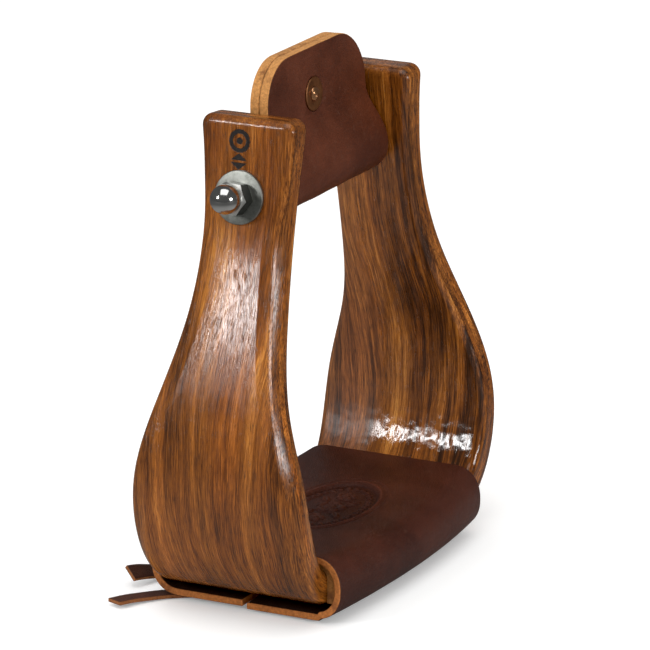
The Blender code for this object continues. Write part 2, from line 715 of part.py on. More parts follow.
def pad_inner(x, share):
    """Inner side of the pad, on the band's top and edges."""
    spread, _, depth = zip(*BAND_STATIONS[:TREAD_STATIONS])
    half_depth = float(np.interp(abs(x), spread, depth)) + GAP
    top = BAND.inner_z(x) + GAP
    radius = EDGE_R + GAP
    reach = abs(share)
    if reach < PAD_TOP_SHARE:
        y, z = (half_depth - radius) * reach / PAD_TOP_SHARE, top
    elif reach < PAD_ROUND_SHARE:
        angle = math.pi / 2 * (reach - PAD_TOP_SHARE) / (PAD_ROUND_SHARE - PAD_TOP_SHARE)
        y = half_depth - radius + radius * math.sin(angle)
        z = top - radius + radius * math.cos(angle)
    else:
        down = (reach - PAD_ROUND_SHARE) / (1 - PAD_ROUND_SHARE)
        y, z = half_depth, top - radius + (PAD_LOW_Z - top + radius) * down
    return math.copysign(y, share), z


def tread_pad():
    back = [PAD_TOP_SHARE + q / PAD_SIDE_STEPS * (1 - PAD_TOP_SHARE)
            for q in range(PAD_SIDE_STEPS + 1)]
    shares = [-share for share in reversed(back)] + [0.0] + back

    def where(i, j, k):
        x = PAD_HALF_X * (2 * i / TREAD_STEPS - 1)
        y, z = (pad_outer if k else pad_inner)(x, shares[j])
        return Vector((x, y, z))

    add_object("tread_pad", lattice_shell((TREAD_STEPS, len(shares) - 1, 1), where), "felt")


tread_pad()


# ---------------------------------------------------------------- tread lace
def lace_path():
    """Centre line of the thong as (point, across, thickness). It starts behind the tread as
    the upper tail, goes in through the tail slit, runs inside along the back flap to the
    far end, comes down through the first back slit, whips round the seam back to the near
    end and leaves as the lower tail."""
    stations = []
    r = LACE_BEND_R
    x_dir = (1, 0, 0)

    def add(point, across, thickness):
        point = Vector(point)
        # a station that repeats the one before is left out
        if not stations or (point - stations[-1][0]).length > 0.05:
            stations.append((point, Vector(across).normalized(), thickness))

    def slit_bend(x, slit_y, side, inside, entering, drift=0.0):
        """Quarter bend between a flat part, on the given side of the slit in y, and the
        slit itself; entering runs from the flat part to the slit."""
        z_flat, up, thickness = ((LACE_Z_IN, -1, LACE_BEND_T_IN) if inside
                                 else (LACE_Z_OUT, 1, LACE_BEND_T_OUT))
        for a in np.linspace(0, math.pi / 2, 4):
            y_share, z_share = 1 - math.cos(a), 1 - math.sin(a)
            if entering:
                y_share, z_share = z_share, y_share
            add((x - drift * y_share, slit_y + side * r * y_share, z_flat + up * r * z_share),
                x_dir, thickness)

    for dx, y, z, across, thickness in UPPER_TAIL:
        add((TAIL_X + dx, y, z), across, thickness)
    slit_bend(TAIL_X, TAIL_Y, 1, inside=False, entering=True)
    slit_bend(TAIL_X, TAIL_Y, -1, inside=True, entering=False)

    # turn flat onto the run along the back flap, and off it towards the first back slit
    turn_angles = np.linspace(0, math.pi / 2, 6)[1:]
    turn = TAIL_Y - r - RUN_Y
    for a in turn_angles:
        c, s = math.cos(a), math.sin(a)
        add((TAIL_X + turn * (1 - c), RUN_Y + turn * (1 - s), LACE_Z_IN), (c, s, 0), LACE_T_IN)
    for x in np.linspace(TAIL_X + turn + 4.0, SLIT_X[0] - 10.5, 8):
        add((x, RUN_Y, LACE_Z_IN), (0, 1, 0), LACE_T_IN)
    turn = RUN_Y - SLIT_Y - r
    for a in turn_angles:
        c, s = math.cos(a), math.sin(a)
        add((SLIT_X[0] - turn * (1 - s), RUN_Y - turn * (1 - c), LACE_Z_IN), (s, c, 0),
            LACE_T_IN)

    slit_bend(SLIT_X[0], SLIT_Y, 1, inside=True, entering=True)
    for x, next_x in zip(SLIT_X, SLIT_X[1:]):
        # out of the back slit, under the seam and up through the front slit
        slit_bend(x, SLIT_Y, -1, inside=False, entering=False)
        for y in (LACE_BAR_Y, -LACE_BAR_Y):
            add((x, y, LACE_Z_OUT), x_dir, LACE_T_OUT)
        slit_bend(x, -SLIT_Y, 1, inside=False, entering=True)
        slit_bend(x, -SLIT_Y, 1, inside=True, entering=False)
        # inside, slantwise to the next back slit and down into it
        for share in (0.12, 0.5, 0.88):
            add((x - SLIT_PITCH * smooth_step(share), (SLIT_Y - r) * (2 * share - 1), LACE_Z_IN),
                x_dir, LACE_T_IN)
        slit_bend(next_x, SLIT_Y, -1, inside=True, entering=True)

    # lower tail: leaves under the back flap and bends towards the near end
    slit_bend(SLIT_X[-1], SLIT_Y, 1, inside=False, entering=False, drift=LOWER_TAIL_DRIFT)
    for dx, y, rise, (run_x, run_y), thickness in LOWER_TAIL:
        add((SLIT_X[-1] - LOWER_TAIL_DRIFT + dx, y, LACE_Z_OUT + rise), (run_y, -run_x, 0),
            thickness)
    return stations


def tread_lace():
    stations = lace_path()

    def where(i, j, k):
        point, across, thickness = stations[i]
        before = stations[max(0, i - 1)][0]
        after = stations[min(len(stations) - 1, i + 1)][0]
        normal = (after - before).normalized().cross(across).normalized()
        return point + across * (LACE_W / 2 * (2 * j - 1)) + normal * (thickness / 2 * (2 * k - 1))

    add_object("tread_lace", lattice_shell((len(stations) - 1, 1, 1), where), "lace")


tread_lace()
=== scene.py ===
"""Western stirrup: a bent veneer band closed at the neck by a steel bolt in a sleeve, a leather
bolt cover with a copper rivet, and a padded, laced leather tread; then the floor, lights and
camera. The tread lies along X, the arms rise to +Z, -Y is the front and the near arm is at -X.
Lengths are mm in the CAD's own frame until a mesh is made; floor and lights are in metres.
In names of sizes R is a radius, T a thickness, W a width, L a length and H a height."""
import math

import bmesh
import bpy
import numpy as np
from mathutils import Matrix, Vector


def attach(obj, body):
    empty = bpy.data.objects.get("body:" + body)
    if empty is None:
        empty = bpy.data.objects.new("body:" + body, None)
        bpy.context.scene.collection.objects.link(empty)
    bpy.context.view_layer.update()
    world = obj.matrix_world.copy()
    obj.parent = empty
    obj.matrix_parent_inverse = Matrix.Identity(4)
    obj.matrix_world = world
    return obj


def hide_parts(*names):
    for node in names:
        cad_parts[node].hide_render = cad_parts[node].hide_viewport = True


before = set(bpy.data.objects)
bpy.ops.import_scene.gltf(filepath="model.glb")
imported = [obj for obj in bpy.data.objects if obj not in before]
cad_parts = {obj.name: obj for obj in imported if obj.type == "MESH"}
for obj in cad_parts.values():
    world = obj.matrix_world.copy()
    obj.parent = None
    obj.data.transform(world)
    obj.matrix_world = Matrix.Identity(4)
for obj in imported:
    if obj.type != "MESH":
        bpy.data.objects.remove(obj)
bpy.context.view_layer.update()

MM = 0.001

# ---------------------------------------------------------------- dimensions, mm
# outer face of the band from the middle of the tread up one arm: (x, z), and the half depth
# along Y at each of these points
OUTER = [(0.0, 6.5), (18.0, 6.5), (36.0, 6.5), (54.0, 6.6), (65.0, 8.3), (75.4, 14.2),
         (90.0, 38.2), (93.2, 63.2), (88.8, 93.2), (74.8, 128.2), (63.0, 168.2), (57.5, 208.2)]
HALF_DEPTH = [37.6, 37.6, 37.6, 37.6, 37.7, 38.2, 39.4, 37.4, 29.3, 21.3, 19.0, 22.1]
BAND_T, VENEERS, GLUE = 14.0, 5, 0.04
EDGE_R, END_R = 3.6, 5.5
BEVEL_W, BEVEL_DEPTH, BEVEL_ARRIS_R = 8.2, 1.7, 3.2
BEVEL_Z = (16.0, 50.0, 158.0, 186.0)    # starts, is full, starts to fade, ends
BOLT_Z, BOLT_R, BOLT_HOLE_R = 176.0, 3.95, 4.15
HEX_FLATS, HEAD_H, WASHER_R, WASHER_T = 12.7, 5.3, 11.1, 1.7
NUT_HEX_H, NUT_H, NUT_DOME_R = 7.0, 17.0, 6.1
NECK_Y, NECK_Z = 1.2, 174.8
SLEEVE_R, SLEEVE_BORE_R, SLEEVE_HALF_L = 8.2, 6.25, 45.6
GAP = 0.3
SEAT = GAP + WASHER_T + 0.05            # foot of nut and head above the wood
PLY_T, PLY_GAP = 4.2, 0.1
FOLD_HALF_W, TAB_HALF_W, TAB_TOP = 45.1, 42.8, 226.1
TAB_CORNER_R = (19.0, 24.0)             # at -X and +X
TAB_MEET_Z, TAB_LEAN = 200.0, math.radians(2.0)
RIVET_X, RIVET_Z, RIVET_POST_R, RIVET_HEAD_R, BURR_R = -3.0, 205.9, 2.4, 7.0, 7.4
COVER_T, COVER_HALF_X, FLAP_Z = 3.0, 66.0, 1.9
TREAD_TOP_Z, TREAD_RISE = 26.1, 3.1
NOSE_Y_MID, NOSE_Y_NEAR, NOSE_Y_FAR, NOSE_BACK = 48.2, 44.8, 43.6, 0.7
NOSE_DEPTH, NOSE_POWER, SEAM_HALF = 13.0, 2.3, 1.0
PAD_HALF_X, PAD_LOW_Z, PAD_GAP = 64.3, 9.0, 0.12
LACE_W, LACE_Z_OUT, LACE_T_OUT, LACE_Z_IN, LACE_T_IN, LACE_BEND_R = 7.4, 0.75, 1.5, 5.7, 1.0, 1.3
SLIT_Y, SLIT_L, SLIT_W = 10.0, 8.6, 2.2
SLIT_PITCH, SLIT_COUNT = 13.0, 9
SLITS = [SLIT_PITCH * ((SLIT_COUNT - 1) / 2 - k) for k in range(SLIT_COUNT)]
RUN_Y, TAIL_X, TAIL_Y = 21.0, -37.0, 30.3


# ---------------------------------------------------------------- mesh helpers
def smoothstep(low, high, x):
    t = np.clip((np.asarray(x, float) - low) / (high - low), 0.0, 1.0)
    return t * t * (3 - 2 * t)


def make_object(name, verts, faces, attrs=None, sharp=40.0):
    """A mesh object from points in mm, with optional per-point attributes."""
    mesh = bpy.data.meshes.new(name)
    mesh.from_pydata([tuple(v) for v in np.asarray(verts, float) * MM], [], faces)
    for key, values in (attrs or {}).items():
        values = np.asarray(values, np.float32)
        kind, field = ("FLOAT_VECTOR", "vector") if values.ndim == 2 else ("FLOAT", "value")
        mesh.attributes.new(key, kind, "POINT").data.foreach_set(field, values.ravel())
    bm = bmesh.new()
    bm.from_mesh(mesh)
    bmesh.ops.recalc_face_normals(bm, faces=bm.faces[:])
    bm.to_mesh(mesh)
    bm.free()
    mesh.shade_smooth()
    mesh.set_sharp_from_angle(angle=math.radians(sharp))
    obj = bpy.data.objects.new(name, mesh)
    bpy.context.scene.collection.objects.link(obj)
    return obj


def block(name, ni, nj, nk, where):
    """Closed skin of a block of ni x nj x nk cells; where(i, j, k) gives a corner's point
    and a dict of its attributes."""
    index, verts, rows, faces = {}, [], [], []

    def v(i, j, k):
        key = (i, j, k)
        if key not in index:
            index[key] = len(verts)
            point, row = where(i, j, k)
            verts.append(tuple(point))
            rows.append(row)
        return index[key]

    for i in range(ni):
        for j in range(nj):
            faces.append((v(i, j, 0), v(i, j + 1, 0), v(i + 1, j + 1, 0), v(i + 1, j, 0)))
            faces.append((v(i, j, nk), v(i + 1, j, nk), v(i + 1, j + 1, nk), v(i, j + 1, nk)))
    for i in range(ni):
        for k in range(nk):
            faces.append((v(i, 0, k), v(i + 1, 0, k), v(i + 1, 0, k + 1), v(i, 0, k + 1)))
            faces.append((v(i, nj, k), v(i, nj, k + 1), v(i + 1, nj, k + 1), v(i + 1, nj, k)))
    for j in range(nj):
        for k in range(nk):
            faces.append((v(0, j, k), v(0, j, k + 1), v(0, j + 1, k + 1), v(0, j + 1, k)))
            faces.append((v(ni, j, k), v(ni, j + 1, k), v(ni, j + 1, k + 1), v(ni, j, k + 1)))
    return make_object(name, verts, faces, {key: [row[key] for row in rows] for key in rows[0]})


def lathe(name, rows, steps, sharp=35.0):
    """A solid of revolution about +Z. rows are (r, z) pairs or functions of the angle
    giving them, from the upper end down the outer side; r 0 makes a pole. If the first
    row isn't a pole the rows close into a ring."""
    verts, loops = [], []
    for row in rows:
        first = row(0.0) if callable(row) else row
        start = len(verts)
        if first[0] < 1e-9:
            verts.append((0.0, 0.0, first[1]))
            loops.append([start])
            continue
        for q in range(steps):
            angle = 2 * math.pi * q / steps
            r, z = row(angle) if callable(row) else row
            verts.append((r * math.cos(angle), r * math.sin(angle), z))
        loops.append(list(range(start, start + steps)))
    faces = []
    pairs = list(zip(loops, loops[1:]))
    if len(loops[0]) > 1:
        pairs.append((loops[-1], loops[0]))
    for a, b in pairs:
        for q in range(steps):
            r = (q + 1) % steps
            if len(a) == 1:
                faces.append((a[0], b[q], b[r]))
            elif len(b) == 1:
                faces.append((a[q], b[0], a[r]))
            else:
                faces.append((a[q], b[q], b[r], a[r]))
    return make_object(name, verts, faces, sharp=sharp)


def put(obj, point, direction, lift=0.0):
    """Turns a piece made about +Z to a direction and sets it lift mm from a point."""
    way = Vector(direction).normalized()
    turn = Vector((0, 0, 1)).rotation_difference(way).to_matrix().to_4x4()
    obj.data.transform(Matrix.Translation((Vector(point) + way * lift) * MM) @ turn)
    return obj


def cut(obj, cutter, operation="DIFFERENCE"):
    """Boolean, applied, and the cutter removed."""
    mod = obj.modifiers.new("cut", "BOOLEAN")
    mod.operation, mod.solver, mod.object = operation, "EXACT", cutter
    bpy.context.view_layer.update()
    graph = bpy.context.evaluated_depsgraph_get()
    mesh = bpy.data.meshes.new_from_object(obj.evaluated_get(graph))
    obj.modifiers.clear()
    old = obj.data
    obj.data = mesh
    bpy.data.meshes.remove(old)
    bpy.data.objects.remove(cutter, do_unlink=True)


def finish(obj, mat, sharp, body="frame"):
    """Gives a piece its material; a piece fine_x replaces the CAD node x."""
    obj.data.materials.clear()
    obj.data.materials.append(mat)
    obj.data.shade_smooth()
    obj.data.set_sharp_from_angle(angle=math.radians(sharp))
    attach(obj, body)
    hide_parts(obj.name.removeprefix("fine_"))


# ---------------------------------------------------------------- material helpers
def operation(name, swap=False):
    def method(self, other=0.0):
        return self.nodes.math(name, *((other, self) if swap else (self, other)))
    return method


class Socket:
    """A node's output; each sum written with it adds a Math node."""
    def __init__(self, nodes, output):
        self.nodes, self.output = nodes, output

    __add__, __radd__ = operation("ADD"), operation("ADD", swap=True)
    __sub__, __rsub__ = operation("SUBTRACT"), operation("SUBTRACT", swap=True)
    __mul__, __truediv__ = operation("MULTIPLY"), operation("DIVIDE")
    __pow__, __abs__ = operation("POWER"), operation("ABSOLUTE")
    sqrt, exp = operation("SQRT"), operation("EXPONENT")


class Nodes:
    """A material's node tree; inputs may be numbers, colours or Sockets."""
    def __init__(self, name):
        self.mat = bpy.data.materials.new(name)
        self.mat.use_nodes = True
        self.tree = self.mat.node_tree
        self.tree.nodes.clear()
        self.out = self.tree.nodes.new("ShaderNodeOutputMaterial")

    def add(self, kind, inputs, output=0, **props):
        node = self.tree.nodes.new("ShaderNode" + kind)
        for key, value in props.items():
            setattr(node, key, value)
        for key, value in inputs.items():
            socket = node.inputs[key]
            if isinstance(value, Socket):
                self.tree.links.new(value.output, socket)
            else:
                socket.default_value = (*value, 1.0) if socket.type == "RGBA" else value
        return Socket(self, node.outputs[output])

    def math(self, name, a, b):
        return self.add("Math", {0: a, 1: b}, operation=name)

    def attr(self, name, output="Fac"):
        return self.add("Attribute", {}, output, attribute_name=name)

    def position(self):
        return self.add("TexCoord", {}, "Object")

    def stretch(self, vector, scale):
        return self.add("Mapping", {"Vector": vector, "Scale": scale})

    def split(self, vector):
        node = self.add("SeparateXYZ", {0: vector}).output.node
        return [Socket(self, output) for output in node.outputs]

    def join(self, x, y, z):
        return self.add("CombineXYZ", {0: x, 1: y, 2: z})

    def noise(self, vector, scale=1.0, detail=2.0, rough=0.5):
        return self.add("TexNoise", {"Vector": vector, "Scale": scale, "Detail": detail,
                                     "Roughness": rough})

    def ramp(self, fac, stops):
        colour = self.add("ValToRGB", {0: fac})
        items = colour.output.node.color_ramp.elements
        while len(items) < len(stops):
            items.new(0.5)
        for item, (place, rgb) in zip(items, stops):
            item.position = place
            item.color = (*rgb, 1.0)
        return colour

    def step(self, x, low, high):
        """0 at low, 1 at high, smooth between; low may be the larger."""
        return self.add("MapRange", {0: x, 1: low, 2: high, 3: 0.0, 4: 1.0},
                        interpolation_type="SMOOTHSTEP")

    def mix(self, fac, a, b, blend="MIX"):
        return self.add("Mix", {0: fac, 6: a, 7: b}, 2, data_type="RGBA", blend_type=blend)

    def tint(self, fac, colour, factors):
        """Moves a colour by fac towards itself multiplied by factors."""
        return self.mix(fac, colour, self.mix(1.0, colour, factors, "MULTIPLY"))

    def bump(self, height, strength, distance, normal=None):
        inputs = {"Height": height, "Strength": strength, "Distance": distance}
        if normal is not None:
            inputs["Normal"] = normal
        return self.add("Bump", inputs)

    def surface(self, **inputs):
        inputs = {key.replace("_", " "): value for key, value in inputs.items()}
        shader = self.add("BsdfPrincipled", inputs)
        self.tree.links.new(shader.output, self.out.inputs[0])
        return self.mat


def shade(colour, share):
    return tuple(share * c for c in colour)


# ---------------------------------------------------------------- wood
MARK_Z, MARK_ACROSS = 195.6, 2.8                # brand on the near arm
RING_AT, RING_R, LOZENGE_AT = -3.0, 3.9, 5.4    # along the band from the brand's middle


def brand(mat, along, across):
    """Mask of a ring with a dot, above a lozenge split by a slot."""
    along = along + 0.0 if False else along
    ds = along - -BAND.outer_at_height(MARK_Z)
    dv = across - MARK_ACROSS
    ragged = (mat.noise(mat.join(along, across, 0.0), scale=1.3, detail=2) - 0.5) * 0.9

    def from_ring():
        return ((ds - RING_AT) ** 2.0 + (dv - 0.0) ** 2.0).sqrt()

    ring = 1.0 - mat.step(abs(from_ring() - RING_R) + ragged, 0.8, 1.1)
    dot = 1.0 - mat.step(from_ring() + ragged, 1.3, 1.6)
    lozenge = 1.0 - mat.step(abs(ds - LOZENGE_AT) + abs(dv) * 0.8 + ragged, 3.3, 3.6)
    slot = 1.0 - mat.step(abs(ds - LOZENGE_AT), 0.35, 0.55)
    lozenge = lozenge * (1.0 - slot)
    return mat.math("MAXIMUM", mat.math("MAXIMUM", ring, dot), lozenge)


def wood(name, seed, tone, outer, inner):
    """Varnished, stained veneer. The band attribute holds (along, across, depth) in mm.
    The outer veneer is branded; the inner one has more heartwood and pooled varnish."""
    mat = Nodes(name)
    along, across, depth = mat.split(mat.attr("band", "Vector"))
    wander = mat.noise(mat.join(along * 0.011, across * 0.03, seed), detail=2)
    wavy = across + (wander - 0.5) * 9.0

    def streak(per_mm, shift, detail, rough=0.55):
        """Noise with its own frequency along, across and into the band."""
        return mat.noise(mat.join(along * per_mm[0], wavy * per_mm[1],
                                  depth * per_mm[2] + (seed + shift)),
                         detail=detail, rough=rough)

    fine = streak((0.075, 2.6, 1.6), 0.0, 4, 0.65)
    middle = streak((0.014, 0.62, 0.7), 7.3, 4, 0.6)
    broad = streak((0.0055, 0.085, 0.12), 13.1, 2)
    blotch = streak((0.022, 0.04, 0.05), 21.7, 2)
    light = ((fine - 0.5) * 1.45 + (middle - 0.5) * 0.80 + (broad - 0.5) * 1.20
             + (blotch - 0.5) * 0.40 + (0.50 + 0.08 * (tone - 1.0)))
    # dark heartwood bands gathered towards the front
    heart = streak((0.004, 0.20, 0.1), 41.0, 3, 0.6)
    front = mat.step(across, 6.0, -26.0)
    light = light - (mat.step(heart, 0.40, 0.60) * (0.25 + front * 0.75)
                     * (0.40 if inner else 0.10))
    stops = [(0.04, (0.030, 0.0100, 0.0025)), (0.24, (0.090, 0.0270, 0.0045)),
             (0.46, (0.180, 0.0560, 0.0075)), (0.64, (0.275, 0.0900, 0.0135)),
             (0.80, (0.400, 0.1450, 0.0240)), (0.96, (0.530, 0.2250, 0.0430))]
    colour = mat.ramp(light, [(place, shade(rgb, tone)) for place, rgb in stops])
    # short dark pores
    pores = mat.step(streak((0.20, 4.2, 2.0), 3.0, 2, 0.6), 0.53, 0.67)
    colour = mat.mix(pores * 0.70, colour, (0.026, 0.0100, 0.0035))
    # reddish and golden zones
    hue = streak((0.008, 0.07, 0.1), 33.0, 2)
    colour = mat.tint(mat.step(hue, 0.35, 0.7) * 0.35, colour, (1.10, 0.80, 0.55))
    if outer:
        # darker stain towards the arms' ends
        end = mat.step(abs(along), BAND.outer_at_height(150.0), BAND.outer_at_height(192.0))
        colour = mat.tint(end * 0.55, colour, (0.62, 0.52, 0.36))
    rough = 0.38 + fine * 0.15
    normal = mat.bump(fine * 0.6 + pores * -0.5, strength=0.35, distance=0.0004)
    # the varnish: brushed ripples along the grain and a fine orange peel
    ripple = mat.noise(mat.join(along * 0.10, across * 0.42, depth + seed), detail=3, rough=0.6)
    peel = mat.noise(mat.join(along * 0.55, across * 1.15, depth * 1.0), detail=3, rough=0.65)
    film = ripple * 0.55 + peel * 0.30 + pores * -0.40 + fine * 0.30
    coat_normal = mat.bump(film, strength=0.08 if inner else 0.30, distance=0.00030)
    smooth, dull = (0.07, 0.05) if inner else (0.12, 0.10)
    coat_rough = smooth + mat.step(ripple, 0.35, 0.7) * dull
    if inner:
        # pooled varnish, duller towards the back and up the arms
        pool = mat.noise(mat.join(along * 0.13, across * 0.17, depth * 0.2), detail=1)
        coat_normal = mat.bump(pool, strength=0.30, distance=0.0016, normal=coat_normal)
        coat_rough = (coat_rough + mat.step(across, 8.0, 18.0) * 0.30
                      + mat.step(abs(along), 98.0, 120.0) * 0.16)
    if outer:
        # the film lies a little fuller where the arm's outer face turns outwards
        swell_at, swell_l, swell_h = BAND.outer_at_height(127.0), 22.0, 1.8
        away = (abs(along) - swell_at) / swell_l
        coat_normal = mat.bump((away * away * -1.0).exp(), strength=1.0,
                               distance=swell_h * MM, normal=coat_normal)
        # the brand, burned and sunk
        mark = brand(mat, along, across)
        colour = mat.mix(mark * 0.97, colour, (0.005, 0.004, 0.0035))
        coat_normal = mat.bump(mark * -1.0, strength=0.7, distance=0.0006, normal=coat_normal)
        coat_rough = coat_rough + mark * 0.25
    return mat.surface(Base_Color=colour, Roughness=rough, Normal=normal,
                       Specular_IOR_Level=0.03, Coat_Weight=1.0, Coat_Roughness=coat_rough,
                       Coat_IOR=1.52, Coat_Normal=coat_normal)


# ---------------------------------------------------------------- leather and metal
def leather(name, grain, deep, flesh, cut_edge, gloss, crease=1.0):
    """Waxed leather. The skin attribute is 1 on the grain side, 0 on cut edges and -1 on
    the flesh side; tooled is the height of the tooling in mm. gloss is the roughness."""
    mat = Nodes(name)
    place = mat.position()
    skin = mat.attr("skin")
    big = mat.noise(place, scale=26.0, detail=3, rough=0.55)
    small = mat.noise(place, scale=160.0, detail=4, rough=0.6)
    face = mat.mix(mat.step(big, 0.33, 0.68), deep, grain)
    face = mat.tint(mat.step(small, 0.52, 0.75) * 0.35, face, (1.55, 1.45, 1.4))
    scuff = mat.noise(mat.stretch(place, (1.0, 0.35, 1.0)), scale=420.0, detail=3, rough=0.7)
    face = mat.mix(mat.step(scuff, 0.56, 0.74) * 0.22, face, (0.16, 0.075, 0.045))
    dots = mat.noise(place, scale=1500.0, detail=2, rough=0.6)
    face = mat.tint(mat.step(dots, 0.45, 0.66) * 0.45, face, (0.55, 0.5, 0.5))
    # tooled hollows darkened: partly antique stain, partly painted shade in the recesses
    tooled = mat.attr("tooled")
    face = mat.tint(mat.step(tooled, -0.15, -0.85) * 0.30, face, (0.30, 0.26, 0.26))
    # painted highlight: the raised tooling is lightened beyond the leather's own colour, standing in
    # for its sheen
    face = mat.tint(mat.step(tooled, 0.10, 0.40) * 0.75, face, (1.7, 1.6, 1.6))
    # cut edge: fibres, darker burnished patches
    fibre = mat.noise(place, scale=900.0, detail=3, rough=0.7)
    patch = mat.noise(place, scale=130.0, detail=3, rough=0.6)
    edge = mat.mix(mat.step(fibre, 0.3, 0.7), shade(cut_edge, 0.62), cut_edge)
    edge = mat.mix(mat.step(patch, 0.52, 0.72) * 0.65, edge, (0.12, 0.035, 0.012))
    suede = mat.mix(mat.step(fibre, 0.3, 0.7), shade(flesh, 0.7), flesh)
    ragged = (patch - 0.5) * 0.5
    on_grain = mat.step(skin + ragged, 0.45, 0.80)
    on_flesh = mat.step((skin + ragged) * -1.0, 0.45, 0.85)
    colour = mat.mix(on_grain, mat.mix(on_flesh, edge, suede), face)
    cells = mat.add("TexVoronoi", {"Vector": place, "Scale": 1250.0}, feature="DISTANCE_TO_EDGE")
    height = (mat.step(cells, 0.0, 0.22) * 0.34 + small * 0.9 + fibre * 0.15
              + mat.noise(place, scale=60.0, detail=2) * 1.2)
    grain_normal = mat.bump(height, strength=0.38 * crease, distance=0.0007)
    edge_normal = mat.bump(fibre + patch, strength=0.8, distance=0.0005)
    normal = mat.add("Mix", {0: on_grain, 4: edge_normal, 5: grain_normal}, 1,
                     data_type="VECTOR")
    rough = gloss + (big - 0.5) * 0.22 + mat.step(scuff, 0.5, 0.8) * 0.08
    rough = on_grain * rough + (1.0 - on_grain) * 0.78
    return mat.surface(Base_Color=colour, Roughness=rough, Normal=normal,
                       Specular_IOR_Level=0.26)


def metal(name, colour, rough, turned=0.0, tarnish=None, spots=0.0):
    """turned is the depth of tool marks, spots the share of the tarnish colour."""
    mat = Nodes(name)
    place = mat.position()
    cloud = mat.noise(place, scale=140.0, detail=4, rough=0.6)
    fine = mat.noise(place, scale=1600.0, detail=3, rough=0.7)
    scratch = mat.noise(mat.stretch(place, (9.0, 1.0, 0.6)), scale=700.0, detail=3, rough=0.7)
    base = mat.mix(mat.step(cloud, 0.35, 0.75), shade(colour, 0.86), colour)
    if tarnish:
        spot = mat.noise(place, scale=330.0, detail=4, rough=0.65)
        base = mat.mix(mat.step(spot, 0.42, 0.68) * spots, base, tarnish)
    rough = (rough + mat.step(cloud, 0.4, 0.8) * 0.08
             + mat.step(scratch, 0.55, 0.8) * (0.12 + turned * 0.2))
    height = fine * 0.25 + scratch * (0.4 + turned)
    normal = mat.bump(height, strength=0.10 + 0.15 * turned, distance=0.00012)
    return mat.surface(Base_Color=base, Metallic=1.0, Roughness=rough, Normal=normal)


# ---------------------------------------------------------------- wood band
def spline(knots, values):
    """Cubic spline through the points, with not-a-knot ends, as a function."""
    t, y = np.asarray(knots, float), np.asarray(values, float)
    n = len(t)
    h = np.diff(t)
    matrix = np.zeros((n, n))
    right = np.zeros(n)
    matrix[0, :3] = h[1], -(h[0] + h[1]), h[0]
    matrix[-1, -3:] = h[-1], -(h[-2] + h[-1]), h[-2]
    for i in range(1, n - 1):
        matrix[i, i - 1:i + 2] = h[i - 1], 2 * (h[i - 1] + h[i]), h[i]
        right[i] = 6 * ((y[i + 1] - y[i]) / h[i] - (y[i] - y[i - 1]) / h[i - 1])
    m = np.linalg.solve(matrix, right)

    def value(x):
        x = np.atleast_1d(np.asarray(x, float))
        i = np.clip(np.searchsorted(t, x) - 1, 0, n - 2)
        d0, d1, hi = x - t[i], t[i + 1] - x, h[i]
        return ((m[i] * d1**3 + m[i + 1] * d0**3) / (6 * hi)
                + (y[i] / hi - m[i] * hi / 6) * d1 + (y[i + 1] / hi - m[i + 1] * hi / 6) * d0)
    return value


class Band:
    """The outer face as a curve; s is the length along it from the tread's middle, < 0 at -X."""
    def __init__(self):
        xs = [-x for x, _ in OUTER[:0:-1]] + [x for x, _ in OUTER]
        zs = [z for _, z in OUTER[:0:-1]] + [z for _, z in OUTER]
        chord = np.r_[0, np.cumsum(np.hypot(np.diff(xs), np.diff(zs)))]
        chord = chord - chord[len(OUTER) - 1]
        self.half_depth = spline(chord, HALF_DEPTH[:0:-1] + HALF_DEPTH)
        self.chord = np.linspace(chord[0], chord[-1], 4001)
        self.x, self.z = spline(chord, xs)(self.chord), spline(chord, zs)(self.chord)
        s = np.r_[0, np.cumsum(np.hypot(np.diff(self.x), np.diff(self.z)))]
        self.s = s - np.interp(0.0, self.chord, s)
        tx, tz = np.gradient(self.x, self.s), np.gradient(self.z, self.s)
        size = np.hypot(tx, tz)
        self.tx, self.tz = tx / size, tz / size
        self.length = self.s[-1]

    def at(self, s):
        """x, z, the tangent's x and z, and the half depth."""
        x, z, tx, tz, chord = (float(np.interp(s, self.s, line))
                               for line in (self.x, self.z, self.tx, self.tz, self.chord))
        return x, z, tx, tz, float(self.half_depth(chord)[0])

    def outer_at_height(self, z):
        arm = (self.s > 0) & (self.z > 30)
        return float(np.interp(z, self.z[arm], self.s[arm]))


BAND = Band()


def band_inner_z(x):
    tread = abs(BAND.s) < 95
    return float(np.interp(x, (BAND.x - BAND.tz * BAND_T)[tread],
                           (BAND.z + BAND.tx * BAND_T)[tread]))


def bolt_frame(side):
    """Where the bolt's line leaves an arm's outer face, and the face's outward normal."""
    x, z, tx, tz, _ = BAND.at(side * BAND.outer_at_height(BOLT_Z))
    return Vector((x, NECK_Y, z)), Vector((tz, 0.0, -tx)).normalized()


def bevel(s):
    z = BAND.at(s)[1]
    start, full, fade, end = BEVEL_Z
    return float(smoothstep(start, full, z) * smoothstep(-end, -fade, -z))


def round_inset(depth, r):
    return 0.0 if depth >= r else r - math.sqrt(max(0.0, r * r - (r - depth)**2))


def inset(u, share=0.0):
    """How far the band's edge stands back at depth u, with a share of the bevel."""
    plain = round_inset(min(u, BAND_T - u), EDGE_R)
    if share <= 0.0 or u > BAND_T / 2:
        return plain
    if u <= BEVEL_DEPTH:
        cut_back = 1.7 + (BEVEL_W - 1.7) * (1 - u / BEVEL_DEPTH)
    else:
        cut_back = round_inset(0.37 + u - BEVEL_DEPTH, BEVEL_ARRIS_R)
    return plain + (cut_back - plain) * share


